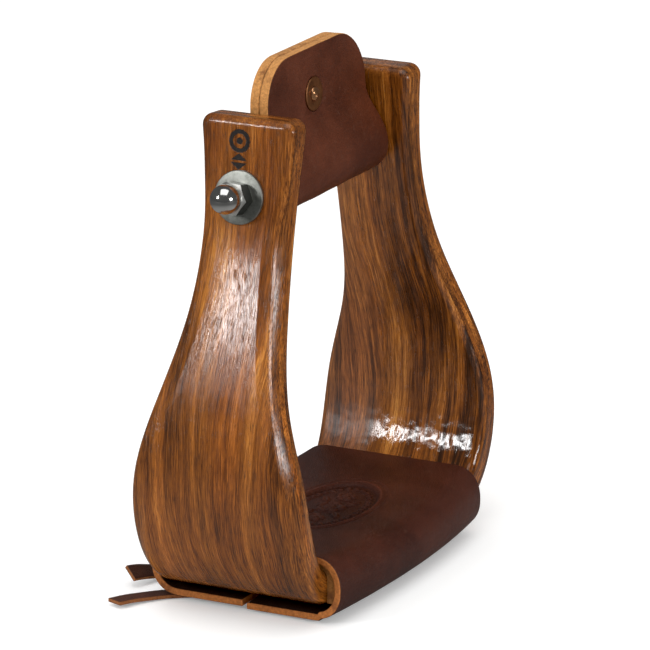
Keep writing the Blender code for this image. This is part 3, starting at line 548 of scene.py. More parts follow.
def front_inset(u, share):
    """The near arm's front edge: a narrower bevel, then a long round to the side."""
    depth, width, back, end = 1.1, 4.1, 4.3, 8.0
    if share <= 0.0 or u > end:
        return inset(u, share)
    if u <= depth:
        cut_back = back + width * (1 - u / depth)
    else:
        cut_back = back * (1 - (u - depth) / 6.9) ** 1.6
    # a small round where the two meet
    cut_back -= 0.35 * math.exp(-((u - depth) / 0.45)**2)
    plain = inset(u)
    return plain + (max(cut_back, 0.0) - plain) * share


STEPS, CORNER = 132, 9      # stations along each half, and round each end's corner
HALF = STEPS + CORNER
# share of the half width across the band
ACROSS = [0.0, 0.018, 0.06, 0.16, 0.33, 0.5, 0.67, 0.84, 0.94, 0.982, 1.0]
# depths of the rows on the band's edge
EDGE_LEVELS = [0.04, 0.12, 0.28, 0.5, 0.7, 0.85, 1.0, 1.1, 1.22, 1.4, 1.58, 1.7, 1.85, 2.1,
               2.4, 3.3, 3.8, 4.4, 4.9, 5.3, 6.2, 6.8, 7.4, 7.9, 10.6, 11.0, 11.4, 11.8,
               12.2, 12.6, 12.95, 13.25, 13.5, 13.72, 13.88, 13.96]
VENEER_T = (BAND_T - (VENEERS - 1) * GLUE) / VENEERS
VENEER_TONES = {"outer_veneer": 1.03, "second_veneer": 0.95, "core_veneer": 1.30,
                "fourth_veneer": 0.95, "inner_veneer": 1.06}
shares = {}


def bevel_share(s):
    """The bevel's share, kept for every 0.01 mm."""
    key = round(s, 2)
    if key not in shares:
        shares[key] = bevel(s)
    return shares[key]


def band_station(i, u):
    """Length along the band and half width at station i, depth u."""
    side, i = (1, i - HALF) if i >= HALF else (-1, HALF - i)
    back = inset(u)
    end, r = BAND.length - back, END_R - back
    start = end - r
    if i <= STEPS:
        f = i / STEPS
        s = start * (f - 0.055 * math.sin(2 * math.pi * f))
        return side * s, BAND.at(s)[4] - inset(u, bevel(s))
    angle = math.pi / 2 * (i - STEPS) / CORNER
    s = start + r * math.sin(angle)
    return side * s, BAND.at(s)[4] - back - r * (1 - math.cos(angle))


def veneer(name, top):
    """A veneer from the depth top below the outer face, without its holes."""
    bottom = top + VENEER_T
    levels = [top] + [u for u in EDGE_LEVELS if top + 0.03 < u < bottom - 0.03] + [bottom]
    stations = {}

    def where(i, j, k):
        u = levels[k]
        if (i, k) not in stations:
            s, half = band_station(i, u)
            share = bevel_share(s)
            front = half
            if s < 0 and abs(i - HALF) <= STEPS:
                front = half + inset(u, share) - front_inset(u, share)
            stations[i, k] = s, half, front, share, BAND.at(s)
        s, half, front, share, (x, z, tx, tz, _) = stations[i, k]
        v = (half + front) * ACROSS[j] - front
        # the back half of the outer face falls away a little
        back = max(0.0, (v / half - 0.1) / 0.9)
        drop = 0.5 * back * back * max(0.0, 1 - u / 9.0) * share
        x, z = x - tz * u, z + tx * u
        return (x - tz * drop, v, z + tx * drop), {"band": (s, v, u)}

    return block(name, 2 * HALF, len(ACROSS) - 1, len(levels) - 1, where)


nut_point, nut_way = bolt_frame(-1)
head_point, head_way = bolt_frame(1)
for ply, (node, tone) in enumerate(VENEER_TONES.items()):
    obj = veneer("fine_" + node, ply * (VENEER_T + GLUE))
    for point, way in ((nut_point, nut_way), (head_point, head_way)):
        tool = lathe("hole", [(0, 20), (BOLT_HOLE_R, 20), (BOLT_HOLE_R, -20), (0, -20)], 48)
        cut(obj, put(tool, point, way, -BAND_T / 2))
    mat = wood("wood_" + node, seed=11.0 + 17.0 * ply, tone=tone,
               outer=ply == 0, inner=ply == VENEERS - 1)
    finish(obj, mat, 28.0)


# ---------------------------------------------------------------- hardware
def hex_r(angle):
    """Radius of a hexagon with slightly eased corners at an angle."""
    power = 60.0
    total = sum(max(0.0, math.cos(angle - math.pi / 3 * q)) ** power for q in range(6))
    return HEX_FLATS / 2 * total ** (-1.0 / power)


def hex_body(height, chamfer_r=5.85, slope=0.52):
    """Rows of a hexagon with chamfered corners, from its top flat to its foot."""
    def rim(back, lift):
        def row(angle):
            r = hex_r(angle) - back
            return r, height - max(0.0, r - chamfer_r) * slope + lift
        return row

    def foot(angle):
        return hex_r(angle), 0.30 + max(0.0, hex_r(angle) - 6.35) * 0.4
    return [(chamfer_r - 0.5, height), (chamfer_r, height - 0.01), rim(0.10, 0.02),
            rim(0.0, 0.0), foot, (6.25, 0.18), (6.2, 0.0)]


steel = metal("bright_steel", (0.47, 0.48, 0.445), rough=0.44, turned=0.7,
              tarnish=(0.27, 0.285, 0.25), spots=0.8)
polished = metal("polished_steel", (0.74, 0.74, 0.72), rough=0.10)
sleeve_steel = metal("sleeve_steel", (0.62, 0.62, 0.60), rough=0.30, turned=0.8)

for node, point, way in (("nut_washer", nut_point, nut_way),
                         ("head_washer", head_point, head_way)):
    obj = lathe("fine_" + node, [
        (WASHER_R - 0.35, WASHER_T), (WASHER_R - 0.12, WASHER_T - 0.06),
        (WASHER_R, WASHER_T - 0.3), (WASHER_R, 0.25), (WASHER_R - 0.2, 0.0),
        (4.3, 0.0), (4.2, 0.2), (4.2, WASHER_T - 0.2), (4.35, WASHER_T)], 96)
    finish(put(obj, point, way, GAP), steel, 50.0)

# cap nut: dome, neck, hexagon, blind bore
rows = [(0.0, NUT_H)]
rows += [(NUT_DOME_R * math.sin(a), NUT_H - NUT_DOME_R + NUT_DOME_R * math.cos(a))
         for a in np.linspace(0, math.pi / 2, 22)[1:]]
rows += [(NUT_DOME_R - back, NUT_HEX_H + z)
         for back, z in ((0.0, 1.6), (0.1, 0.9), (0.25, 0.45), (0.1, 0.12))]
rows += hex_body(NUT_HEX_H, chamfer_r=6.15, slope=0.62)[1:]
rows += [(4.35, 0.0), (4.1, 0.35), (4.1, 10.0), (0.0, 11.0)]
nut = lathe("fine_cap_nut", rows, 144, 24.0)
# the tightened nut is turned a little about its axis
nut.data.transform(Matrix.Rotation(math.radians(-5.0), 4, "Z"))
finish(put(nut, nut_point, nut_way, SEAT), polished, 24.0)
# the hexagon's top is ground; its glossy sides get a dark steel colour, painted shade standing in
# for the dark room they reflect
nut.data.materials.append(metal("ground_steel", (0.86, 0.86, 0.82), rough=0.38, turned=0.3))
nut.data.materials.append(metal("painted_shade_steel", (0.22, 0.22, 0.21), rough=0.16))
hex_top = SEAT + NUT_HEX_H
for polygon in nut.data.polygons:
    offset = polygon.center / MM - nut_point
    height, facing = offset.dot(nut_way), abs(polygon.normal.dot(nut_way))
    if hex_top - 0.75 < height < hex_top + 0.3 and facing > 0.3:
        polygon.material_index = 1
    elif (SEAT + 0.2 < height < hex_top and facing < 0.3
          and (offset - nut_way * height).length > 5.8):
        polygon.material_index = 2


def bolt_path():
    """Middle line of the rod: level between the arms, its ends bent square to them."""
    level_z = (head_point - head_way * (BAND_T - 0.5)).z - 0.35
    turn_x = abs((nut_point - nut_way * (BAND_T - 0.5)).x) - 2.5
    lean_angle = math.atan2(nut_way.z, abs(nut_way.x))
    path = [nut_point + nut_way * (SEAT + 9.5), nut_point - nut_way * 4.0,
            nut_point - nut_way * 9.0]
    for side, order in ((-1, range(6, -1, -1)), (1, range(0, 7))):
        for q in order:
            run, angle = 9.0 * q / 6, lean_angle * q / 6
            path.append(Vector((side * (turn_x - 6.0 + run * math.cos(angle / 2)), NECK_Y,
                                level_z + run * math.sin(angle / 2))))
    return path + [head_point - head_way * 9.0, head_point - head_way * 4.0,
                   head_point + head_way * (SEAT + 0.4)]


def bolt_rod(steps=40):
    path = bolt_path()
    last = len(path) - 1
    verts, faces = [], []
    for i, point in enumerate(path):
        tangent = (path[min(last, i + 1)] - path[max(0, i - 1)]).normalized()
        e1 = Vector((0, 1, 0))
        e2 = tangent.cross(e1).normalized()
        r = BOLT_R - (0.5 if i == 0 else 0.0)
        for q in range(steps):
            angle = 2 * math.pi * q / steps
            verts.append(tuple(point + e1 * r * math.cos(angle) + e2 * r * math.sin(angle)))
    for i in range(last):
        a, b = i * steps, (i + 1) * steps
        for q in range(steps):
            r = (q + 1) % steps
            faces.append((a + q, a + r, b + r, b + q))
    faces.append(tuple(range(steps - 1, -1, -1)))
    faces.append(tuple(last * steps + q for q in range(steps)))
    return make_object("fine_neck_bolt", verts, faces)


rod = bolt_rod()
head = lathe("head", [(0.0, HEAD_H - 0.15), (3.2, HEAD_H - 0.15), (3.6, HEAD_H),
                      *hex_body(HEAD_H), (0.0, 0.0)], 144)
cut(rod, put(head, head_point, head_way, SEAT), "UNION")
finish(rod, steel, 30.0)

# sleeve round the bolt
half, r, bore = SLEEVE_HALF_L, SLEEVE_R, SLEEVE_BORE_R
obj = lathe("fine_neck_sleeve", [
    (r - 0.5, half), (r - 0.15, half - 0.12), (r, half - 0.5),
    (r, -half + 0.5), (r - 0.15, -half + 0.12), (r - 0.5, -half),
    (bore + 0.3, -half), (bore, -half + 0.3), (bore, half - 0.3), (bore + 0.3, half)], 80)
finish(put(obj, (0, NECK_Y, NECK_Z), (1, 0, 0)), sleeve_steel, 45.0, "sleeve")

# ---------------------------------------------------------------- leather bolt cover
cover_leather = leather("cover_leather", grain=(0.112, 0.0285, 0.0115),
                        deep=(0.064, 0.0160, 0.0070), flesh=(0.50, 0.30, 0.14),
                        cut_edge=(0.62, 0.285, 0.085), gloss=0.43)
tread_leather = leather("tread_leather", grain=(0.071, 0.0192, 0.0103),
                        deep=(0.038, 0.0099, 0.0056), flesh=(0.035, 0.015, 0.009),
                        cut_edge=(0.47, 0.160, 0.038), gloss=0.34, crease=1.2)

FOLD_R = SLEEVE_R + GAP + PLY_T / 2
TAB_HALF_Y = (PLY_T + PLY_GAP) / 2
R_MAX = max(TAB_CORNER_R)
ARC_N, DOWN_N, FOLD_N, COLS = 22, 44, 34, 64


def lean(y, z):
    """Leans the tab about the sleeve and sets it over the neck."""
    c, s, dz = math.cos(TAB_LEAN), math.sin(TAB_LEAN), z - NECK_Z
    return NECK_Y + y * c + dz * s, NECK_Z - y * s + dz * c


def cover_path(back):
    """Middle line of the folded leather for a level standing back by back, and the two
    half widths at each station: front ply down, round the sleeve, back ply up."""
    zs = [TAB_TOP - back - (R_MAX - back) * (1 - math.cos(a))
          for a in np.linspace(0, math.pi / 2, ARC_N)]
    zs += list(np.linspace(TAB_TOP - R_MAX - 0.6, NECK_Z + 0.8, DOWN_N))
    front = []
    for z in zs:
        t = min(1.0, max(0.0, (TAB_MEET_Z - z) / (TAB_MEET_Z - NECK_Z)))
        half = TAB_HALF_Y + (FOLD_R - TAB_HALF_Y) * (1 - math.cos(math.pi * t)) / 2
        front.append((-half, z))
    fold = [(-FOLD_R * math.cos(a), NECK_Z - FOLD_R * math.sin(a))
            for a in np.linspace(0, math.pi, FOLD_N)]
    path = front + fold + [(-y, z) for y, z in front[::-1]]
    widths = []
    for _, z in path:
        t = min(1.0, max(0.0, (z - (NECK_Z + 4)) / 22.0))
        width = FOLD_HALF_W + (TAB_HALF_W - FOLD_HALF_W) * (3 * t * t - 2 * t**3) - back
        pair = []
        for corner_r in TAB_CORNER_R:
            r = corner_r - back
            d = r - (TAB_TOP - back - z)
            pair.append(width - (r - math.sqrt(max(0.0, r**2 - d * d)) if d > 0 else 0.0))
        widths.append(pair)
    return path, widths


def edge_levels(thick, r):
    """Levels through leather with its arrises eased by r: (offset, inset, skin)."""
    angles = [math.pi / 2 * q / 4 for q in range(5)]
    ease = [(r * (1 - math.cos(a)), r * (1 - math.sin(a))) for a in angles]
    rows = [(-thick / 2 + d, back) for d, back in ease]
    rows += [(f * (thick / 2 - r), 0.0) for f in (-0.5, 0.0, 0.5)]
    rows += [(thick / 2 - d, back) for d, back in ease[::-1]]
    skins = [-1.0, -0.75] + [0.0] * 8 + [0.55, 0.9, 1.0]
    return [(*row, skin) for row, skin in zip(rows, skins)]


cover_levels = edge_levels(PLY_T, 0.75)
cover_paths = [cover_path(back) for _, back, _ in cover_levels]


def relief(x, y, z):
    """Small unevenness of hand-worked leather, mm."""
    return (0.10 * math.sin(0.11 * x + 0.07 * z) * math.cos(0.09 * z - 0.05 * y)
            + 0.06 * math.sin(0.31 * x + 1.3) * math.sin(0.27 * z + 0.4 * y))


def cover_where(i, j, k):
    off, _, skin = cover_levels[k]
    path, widths = cover_paths[k]
    y, z = path[i]
    a, b = path[max(0, i - 1)], path[min(len(path) - 1, i + 1)]
    ty, tz = b[0] - a[0], b[1] - a[1]
    size = math.hypot(ty, tz)
    f = 2 * j / COLS - 1
    f = math.copysign(1 - (1 - abs(f)) ** 1.15, f)
    x = f * widths[i][0 if f < 0 else 1]
    if skin > 0.95:
        # eased down around the pressed-in burr
        r = math.hypot(x - RIVET_X, z - RIVET_Z)
        off -= 0.35 * (1 - smoothstep(7.4, 10.5, r)) if y < 0 else 0.0
        off += relief(x, y, z) * float(smoothstep(0.0, 6.0, widths[i][1] - abs(x)))
    return (x, *lean(y + tz / size * off, z + -ty / size * off)), {"skin": skin}


cover = block("fine_bolt_cover", len(cover_paths[0][0]) - 1, COLS, len(cover_levels) - 1,
              cover_where)
tab_way = Vector((0.0, -math.cos(TAB_LEAN), math.sin(TAB_LEAN)))
rivet_centre = Vector((RIVET_X, *lean(0.0, RIVET_Z)))
tab_face = TAB_HALF_Y + PLY_T / 2
# the post's hole, then the burr's seat
for r, low, high in ((RIVET_POST_R + 0.2, -20.0, 20.0),
                     (BURR_R + 0.05, tab_face - 0.75, tab_face + 5.0)):
    tool = lathe("tool", [(0, high), (r, high), (r, low), (0, low)], 96)
    layer = tool.data.attributes.new("skin", "FLOAT", "POINT")
    layer.data.foreach_set("value", np.ones(len(tool.data.vertices), np.float32))
    cut(cover, put(tool, rivet_centre, tab_way))
# the seat keeps the grain side's look
layer = cover.data.attributes["skin"].data
for i, vertex in enumerate(cover.data.vertices):
    offset = vertex.co / MM - rivet_centre
    depth = offset.dot(tab_way)
    if depth > tab_face - 1.2 and (offset - tab_way * depth).length < BURR_R + 0.35:
        layer[i].value = 1.0
finish(cover, cover_leather, 50.0, "cover")

# copper burr and rivet
copper = metal("copper", (0.56, 0.25, 0.11), rough=0.50, tarnish=(0.24, 0.09, 0.045), spots=0.5)
copper_post = metal("copper_post", (0.86, 0.44, 0.22), rough=0.30,
                    tarnish=(0.42, 0.17, 0.08), spots=0.4)
r = BURR_R - 0.3
obj = lathe("fine_rivet_burr", [
    (r - 0.55, 1.02), (r - 0.2, 0.93), (r - 0.03, 0.72), (r, 0.45), (r - 0.1, 0.06),
    (r - 0.3, 0.0), (2.7, 0.0), (2.7, 0.62), (3.0, 0.78), (4.0, 0.86), (5.4, 0.98)], 96)
finish(put(obj, rivet_centre, tab_way, tab_face - 0.7), copper, 60.0, "cover")
top = tab_face - 0.7 + 0.92
back = -tab_face - 0.05
r = RIVET_HEAD_R
obj = lathe("fine_cover_rivet", [
    (0.0, top + 1.55), (0.9, top + 1.5), (1.7, top + 1.28), (2.3, top + 0.95),
    (2.75, top + 0.55), (3.05, top + 0.2), (3.1, top), (2.35, top - 0.02), (2.35, back),
    (r - 0.2, back), (r, back - 0.15), (r, back - 0.45), (r - 0.4, back - 0.8),
    (r - 1.8, back - 1.25), (3.0, back - 1.5), (0.0, back - 1.6)], 96)
for vertex in obj.data.vertices:
    # hammered end of the post
    if vertex.co.z * 1000 > top + 0.3:
        angle = math.atan2(vertex.co.y, vertex.co.x)
        vertex.co.z += 0.00012 * math.sin(3 * angle + 0.6) + 0.00008 * math.sin(5 * angle)
finish(put(obj, rivet_centre, tab_way), copper_post, 45.0, "cover")


# ---------------------------------------------------------------- tread cover
def tread_top(x):
    return TREAD_TOP_Z + TREAD_RISE * (abs(x) / COVER_HALF_X)**2.4


def nose_y(x, side):
    end = NOSE_Y_NEAR if x < 0 else NOSE_Y_FAR
    y = NOSE_Y_MID + (end - NOSE_Y_MID) * (x / COVER_HALF_X)**2
    return y - (NOSE_BACK if side > 0 else 0.0)


def nose(x, angle, inward, side):
    """Distance from the middle and height on the rounded front (side -1) or back (1)."""
    top_z, tip_y = tread_top(x) - inward, nose_y(x, side) - inward
    low = FLAP_Z + inward
    half_h, mid_z, depth = (top_z - low) / 2, (top_z + low) / 2, NOSE_DEPTH - inward
    c, s = math.cos(angle), math.sin(angle)
    k = (abs(c)**NOSE_POWER + abs(s)**NOSE_POWER)**(-1 / NOSE_POWER)
    return tip_y - depth + depth * s * k, mid_z + half_h * c * k


TOP_N, NOSE_N, FLAP_N = 62, 46, 26
HALF_N = TOP_N + NOSE_N - 1 + FLAP_N


def half_section(x, inward, side, back_off):
    """Half of the wrap from the middle of the top to the seam, y outwards."""
    edge_y = nose(x, 0.0, inward, side)[0]
    pts = [(edge_y * (q / TOP_N), tread_top(x) - inward) for q in range(TOP_N)]
    pts += [nose(x, a, inward, side) for a in np.linspace(0, math.pi, NOSE_N)[1:]]
    flap_y, seam_y = pts[-1][0], SEAM_HALF + back_off
    return pts + [(flap_y + (seam_y - flap_y) * (q / FLAP_N), FLAP_Z + inward)
                  for q in range(1, FLAP_N + 1)]


OVAL_X, OVAL_Y, OVAL_RX, OVAL_RY = 2.0, -4.3, 30.6, 17.2


def ellipse_row(share, count):
    """Points spaced evenly round an ellipse concentric with the tooled oval."""
    t = np.linspace(0, 2 * math.pi, 721)
    x, y = share * OVAL_RX * np.cos(t), share * OVAL_RY * np.sin(t)
    run = np.r_[0, np.cumsum(np.hypot(np.diff(x), np.diff(y)))]
    at = np.arange(count) * run[-1] / count
    return [(float(np.interp(q, run, x)), float(np.interp(q, run, y))) for q in at]


BEADS = ellipse_row(0.80, 34)


def blossom(x, y, size, petals=5):
    """Height of a flat flower with a groove between its petals and a button in the middle."""
    r = math.hypot(x, y)
    lobe = abs(math.cos(petals / 2 * math.atan2(y, x)))
    edge = size * (0.78 + 0.22 * lobe)
    h = 0.75 * (1 - float(smoothstep(edge - 0.22 * size, edge, r)))
    if h > 0.05:
        h -= 0.40 * math.exp(-((r - 0.40 * size) / (0.09 * size))**2)
        h -= (0.30 * (1 - float(smoothstep(0.0, 0.35, lobe)))
              * float(smoothstep(0.40 * size, 0.62 * size, r)))
    return h


def leaf(x, y, angle, length, width):
    """Height of a pointed leaf with a groove along its middle."""
    u = (x * math.cos(angle) + y * math.sin(angle)) / length
    v = (-x * math.sin(angle) + y * math.cos(angle)) / width
    d = abs(v) + u * u
    groove = 0.30 * math.exp(-(v / 0.16)**2) if d < 0.9 else 0.0
    return 0.62 * (1 - float(smoothstep(0.70, 1.0, d))) - groove


def ornament(x, y):
    """Height of the tooled oval, mm: a sunk panel with three flowers, leaves between them
    and a row of beads round them."""
    dx, dy = x - OVAL_X, y - OVAL_Y
    rho = math.hypot(dx / OVAL_RX, dy / OVAL_RY)
    if rho > 1.4:
        return 0.0
    h = -1.05 * (1 - float(smoothstep(0.93, 0.99, rho)))
    h += 0.42 * math.exp(-((rho - 1.045) / 0.035)**2) - 0.34 * math.exp(-((rho - 1.13) / 0.04)**2)
    if rho < 0.93:
        raised = max(0.0, blossom(dx, dy, 7.4))
        for side in (-1.0, 1.0):
            raised = max(raised, blossom(dx - side * 14.6, dy, 5.0))
            for up in (-1.0, 1.0):
                raised = max(raised, leaf(dx - side * 8.4, dy - up * 6.6, angle=side * up * 0.55,
                                          length=4.3, width=2.0))
        near = min((dx - bx)**2 + (dy - by)**2 for bx, by in BEADS) if rho > 0.68 else 9.0
        raised = max(raised, 0.60 * math.sqrt(max(0.0, 1 - near / 1.45**2)))
        h += 1.25 * raised
    return h


tread_levels = edge_levels(COVER_T, 0.7)
# columns along X, closer over the oval
OVAL_REACH = OVAL_RX * 1.2
XS = np.unique(np.round(np.r_[
    np.linspace(-COVER_HALF_X, -OVAL_REACH + OVAL_X, 22),
    np.arange(-OVAL_RX * 1.2 + OVAL_X, OVAL_REACH + OVAL_X, 0.55),
    np.linspace(OVAL_REACH + OVAL_X, COVER_HALF_X, 22)], 4))
XS[0], XS[-1] = -COVER_HALF_X, COVER_HALF_X
sections = {}


def tread_where(i, j, k):
    off, back, skin = tread_levels[k]
    x = float(XS[j])
    x = x * (COVER_HALF_X - back) / COVER_HALF_X
    side = 1 if i > HALF_N - 1 else -1
    q = abs(i - (HALF_N - 1))
    key = (j, k, side)
    if key not in sections:
        sections[key] = half_section(x, COVER_T / 2 - off, side, back)
    y, z = sections[key][q]
    y = math.copysign(y, side)
    under = z < 8.0 and q > TOP_N + NOSE_N - 6
    tooled = 0.0
    if skin > 0.95:
        if q < TOP_N:
            tooled = ornament(x, y)
            z += tooled
        # soft folds where the leather turns over the front and the back
        fade = float(smoothstep(0.0, 5.0, COVER_HALF_X - abs(x)))
        fold = (0.07 * math.sin(0.13 * x + 0.8 * side) * math.cos(0.11 * y)
                + 0.02 * math.sin(0.29 * x - 0.2 * y))
        if not under:
            z += fold * fade
    if under and side < 0:
        # the front flap hangs a little at the near end
        z -= 0.85 * (1 - float(smoothstep(-64.0, -48.0, x)))
    return (x, y, z), {"skin": skin, "tooled": tooled}


tread = block("fine_tread_cover", 2 * HALF_N - 2, len(XS) - 1, len(tread_levels) - 1, tread_where)
# two rows of slits under the tread, and one for the lace's front-to-back tail
spots = [(x, y) for x in SLITS for y in (SLIT_Y, -SLIT_Y) if y > 0 or x != SLITS[-1]]
spots.append((TAIL_X, TAIL_Y))
bm = bmesh.new()
for x, y in spots:
    place = Matrix.Translation(Vector((x, y, FLAP_Z + COVER_T / 2)) * MM)
    size = Matrix.Diagonal((SLIT_L * MM, SLIT_W * MM, (COVER_T + 3) * MM, 1))
    bmesh.ops.create_cube(bm, size=1.0, matrix=place @ size)
mesh = bpy.data.meshes.new("slits")
bm.to_mesh(mesh)
bm.free()
tool = bpy.data.objects.new("slits", mesh)
bpy.context.scene.collection.objects.link(tool)
cut(tread, tool)
finish(tread, tread_leather, 55.0)


# ---------------------------------------------------------------- tread pad
def pad_outer(x, f):
    """The pad's outside just under the cover; f runs from -1 at the front to 1 at the back."""
    inward = COVER_T + PAD_GAP
    side = 1 if f > 0 else -1
    low = 1.0
    for _ in range(40):
        z = nose(x, low * math.pi, inward, side)[1]
        low -= (PAD_LOW_Z - z) / 60.0
    g = abs(f)
    if g < 0.35:
        y, z = nose(x, 0.0, inward, side)[0] * g / 0.35, tread_top(x) - inward
    else:
        y, z = nose(x, low * math.pi * (g - 0.35) / 0.65, inward, side)
    return math.copysign(y, f), z


def pad_inner(x, f):
    """The pad's inside just off the band."""
    half = float(np.interp(abs(x), [q for q, _ in OUTER[:6]], HALF_DEPTH[:6])) + PAD_GAP
    top_z = band_inner_z(x) + PAD_GAP
    r = EDGE_R + PAD_GAP
    g = abs(f)
    if g < 0.35:
        y, z = (half - r) * g / 0.35, top_z
    elif g < 0.7:
        a = math.pi / 2 * (g - 0.35) / 0.35
        y, z = half - r + r * math.sin(a), top_z - r + r * math.cos(a)
    else:
        y, z = half, (top_z - r) + (PAD_LOW_Z - top_z + r) * (g - 0.7) / 0.3
    return math.copysign(y, f), z


PAD_I, PAD_K = 40, 3
PAD_F = ([-1 + q / 30 * 0.65 for q in range(30)] + list(np.linspace(-0.35, 0.35, 17))
         + [0.35 + q / 30 * 0.65 for q in range(1, 31)])


def pad_where(i, j, k):
    x = PAD_HALF_X * (2 * i / PAD_I - 1)
    yi, zi = pad_inner(x, PAD_F[j])
    yo, zo = pad_outer(x, PAD_F[j])
    f = k / PAD_K
    return (x, yi + (yo - yi) * f, zi + (zo - zi) * f), {"skin": 0.0}


pad = block("fine_tread_pad", PAD_I, len(PAD_F) - 1, PAD_K, pad_where)
pad_leather = leather("pad_leather", grain=(0.30, 0.13, 0.04), deep=(0.2, 0.08, 0.02),
                      flesh=(0.3, 0.15, 0.05), cut_edge=(0.33, 0.135, 0.033), gloss=0.6)
finish(pad, pad_leather, 45.0)


# ---------------------------------------------------------------- lace
def lace_path():
    """Stations (point, direction across the lace, thickness): the free tail, a run above
    the flap, the zigzag through the slits and the second tail below the flap."""
    out = []
    x_way, y_way = (1, 0, 0), (0, 1, 0)
    z_in, z_out, r = LACE_Z_IN, LACE_Z_OUT, LACE_BEND_R

    def add(point, across, thick):
        out.append((Vector(point), Vector(across).normalized(), thick))

    def bend(x, y, way, below, entering, drift=0.0):
        """A quarter turn into or out of a slit, towards +Y or -Y by way."""
        z, z_sign, thick = (z_out, 1, 1.3) if below else (z_in, -1, 1.1)
        for a in np.linspace(0, math.pi / 2, 4):
            dy, dz = 1 - math.sin(a), 1 - math.cos(a)
            x_drift = drift * dz
            if not entering:
                dy, dz = dz, dy
            add((x - x_drift, y + way * r * dy, z + z_sign * r * dz), x_way, thick)

    # free tail: x from TAIL_X, y, z, across
    for dx, y, z, across in ((-22.5, 58.0, 5.6, (0.27, 0.71, 0.65)),
                             (-17.5, 56.6, 4.9, (0.36, 0.72, 0.58)),
                             (-12.0, 54.4, 3.9, (0.50, 0.71, 0.45)),
                             (-7.0, 51.4, 2.6, (0.72, 0.62, 0.24)),
                             (-3.0, 47.0, 1.4, (0.88, 0.46, 0.06)),
                             (-1.0, 42.0, 1.0, (0.97, 0.22, 0.0)),
                             (-0.2, 37.0, z_out, (1.0, 0.03, 0.0))):
        add((TAIL_X + dx, y, z), across, 1.7 if y > 50 else LACE_T_OUT)
    bend(TAIL_X, TAIL_Y, 1, below=True, entering=True)
    bend(TAIL_X, TAIL_Y, -1, below=False, entering=False)
    turn = TAIL_Y - r - RUN_Y
    for a in np.linspace(0, math.pi / 2, 6)[1:]:
        add((TAIL_X + turn * (1 - math.cos(a)), RUN_Y + turn * (1 - math.sin(a)), z_in),
            (math.cos(a), math.sin(a), 0.0), LACE_T_IN)
    for x in np.linspace(TAIL_X + turn + 4.0, SLITS[0] - 10.5, 8):
        add((x, RUN_Y, z_in), y_way, LACE_T_IN)
    turn = RUN_Y - SLIT_Y - r
    for a in np.linspace(0, math.pi / 2, 6)[1:]:
        add((SLITS[0] - turn * (1 - math.sin(a)), RUN_Y - turn * (1 - math.cos(a)), z_in),
            (math.sin(a), math.cos(a), 0.0), LACE_T_IN)
    for k, x in enumerate(SLITS):
        bend(x, SLIT_Y, 1 if k == 0 else -1, below=False, entering=True)
        if k == SLIT_COUNT - 1:
            break
        bend(x, SLIT_Y, -1, below=True, entering=False)
        for y in (6.5, -6.5):
            add((x, y, z_out), x_way, LACE_T_OUT)
        bend(x, -SLIT_Y, 1, below=True, entering=True)
        bend(x, -SLIT_Y, 1, below=False, entering=False)
        for f in (0.12, 0.5, 0.88):
            add((x - SLIT_PITCH * (3 * f * f - 2 * f**3),
                 -SLIT_Y + r + (2 * SLIT_Y - 2 * r) * f, z_in), x_way, LACE_T_IN)
    drift = 0.8
    bend(x, SLIT_Y, 1, below=True, entering=False, drift=drift)
    # second tail: x back from the last slit, y, z above z_out, direction
    for dx, y, dz, (way_x, way_y) in ((0.3, 15.0, 0.0, (-0.1, 0.99)),
                                      (1.7, 22.0, 0.0, (-0.28, 0.96)),
                                      (4.6, 29.0, 0.0, (-0.48, 0.88)),
                                      (9.4, 36.5, 0.1, (-0.64, 0.77)),
                                      (16.5, 43.3, 0.4, (-0.76, 0.65)),
                                      (24.5, 48.5, 0.9, (-0.88, 0.47)),
                                      (32.0, 51.3, 1.5, (-0.95, 0.31))):
        add((x - drift - dx, y, z_out + dz), (way_y, -way_x, 0.0), LACE_T_OUT if y < 30 else 1.6)
    keep = [out[0]]
    for station in out[1:]:
        if (station[0] - keep[-1][0]).length > 0.05:
            keep.append(station)
    return keep


def lace_stations():
    """The path at close spacing, its tails smoothed."""
    path = lace_path()
    dense = [path[0]]
    for a, b in zip(path, path[1:]):
        parts = max(1, int((b[0] - a[0]).length / 1.6))
        for q in range(1, parts + 1):
            f = q / parts
            dense.append((a[0].lerp(b[0], f), a[1].lerp(b[1], f).normalized(),
                          a[2] + (b[2] - a[2]) * f))
    for _ in range(6):
        smooth = list(dense)
        for i in range(1, len(dense) - 1):
            a, (point, across, thick), b = dense[i - 1:i + 2]
            if point.y > 33.0:
                smooth[i] = ((a[0] + point * 2 + b[0]) / 4,
                             (a[1] + across * 2 + b[1]).normalized(), thick)
        dense = smooth
    return dense


stations = lace_stations()
# share of the width, and how much the thickness is eased there
LACE_ACROSS = [(-0.5, 0.22), (-0.475, 0.0), (-0.3, 0.0), (0.0, 0.0), (0.3, 0.0), (0.475, 0.0),
               (0.5, 0.22)]


def lace_where(i, j, k):
    point, across, thick = stations[i]
    a, b = stations[max(0, i - 1)][0], stations[min(len(stations) - 1, i + 1)][0]
    normal = (b - a).normalized().cross(across).normalized()
    f, ease = LACE_ACROSS[j]
    h = k / 3 * 2 - 1
    half = thick / 2 * (1 - ease)
    wobble = 0.10 * math.sin(i * 0.7) if abs(f) > 0.4 and point.y > 33 else 0.0
    skin = 1.0 if abs(h) > 0.9 and abs(f) < 0.48 else 0.0
    return point + across * (LACE_W * f + wobble) + normal * half * h, {"skin": skin}


lace = block("fine_tread_lace", len(stations) - 1, len(LACE_ACROSS) - 1, 3, lace_where)
lace_leather = leather("lace_leather", grain=(0.105, 0.038, 0.022), deep=(0.050, 0.018, 0.011),
                       flesh=(0.1, 0.05, 0.03), cut_edge=(0.32, 0.115, 0.036), gloss=0.5)
finish(lace, lace_leather, 50.0)


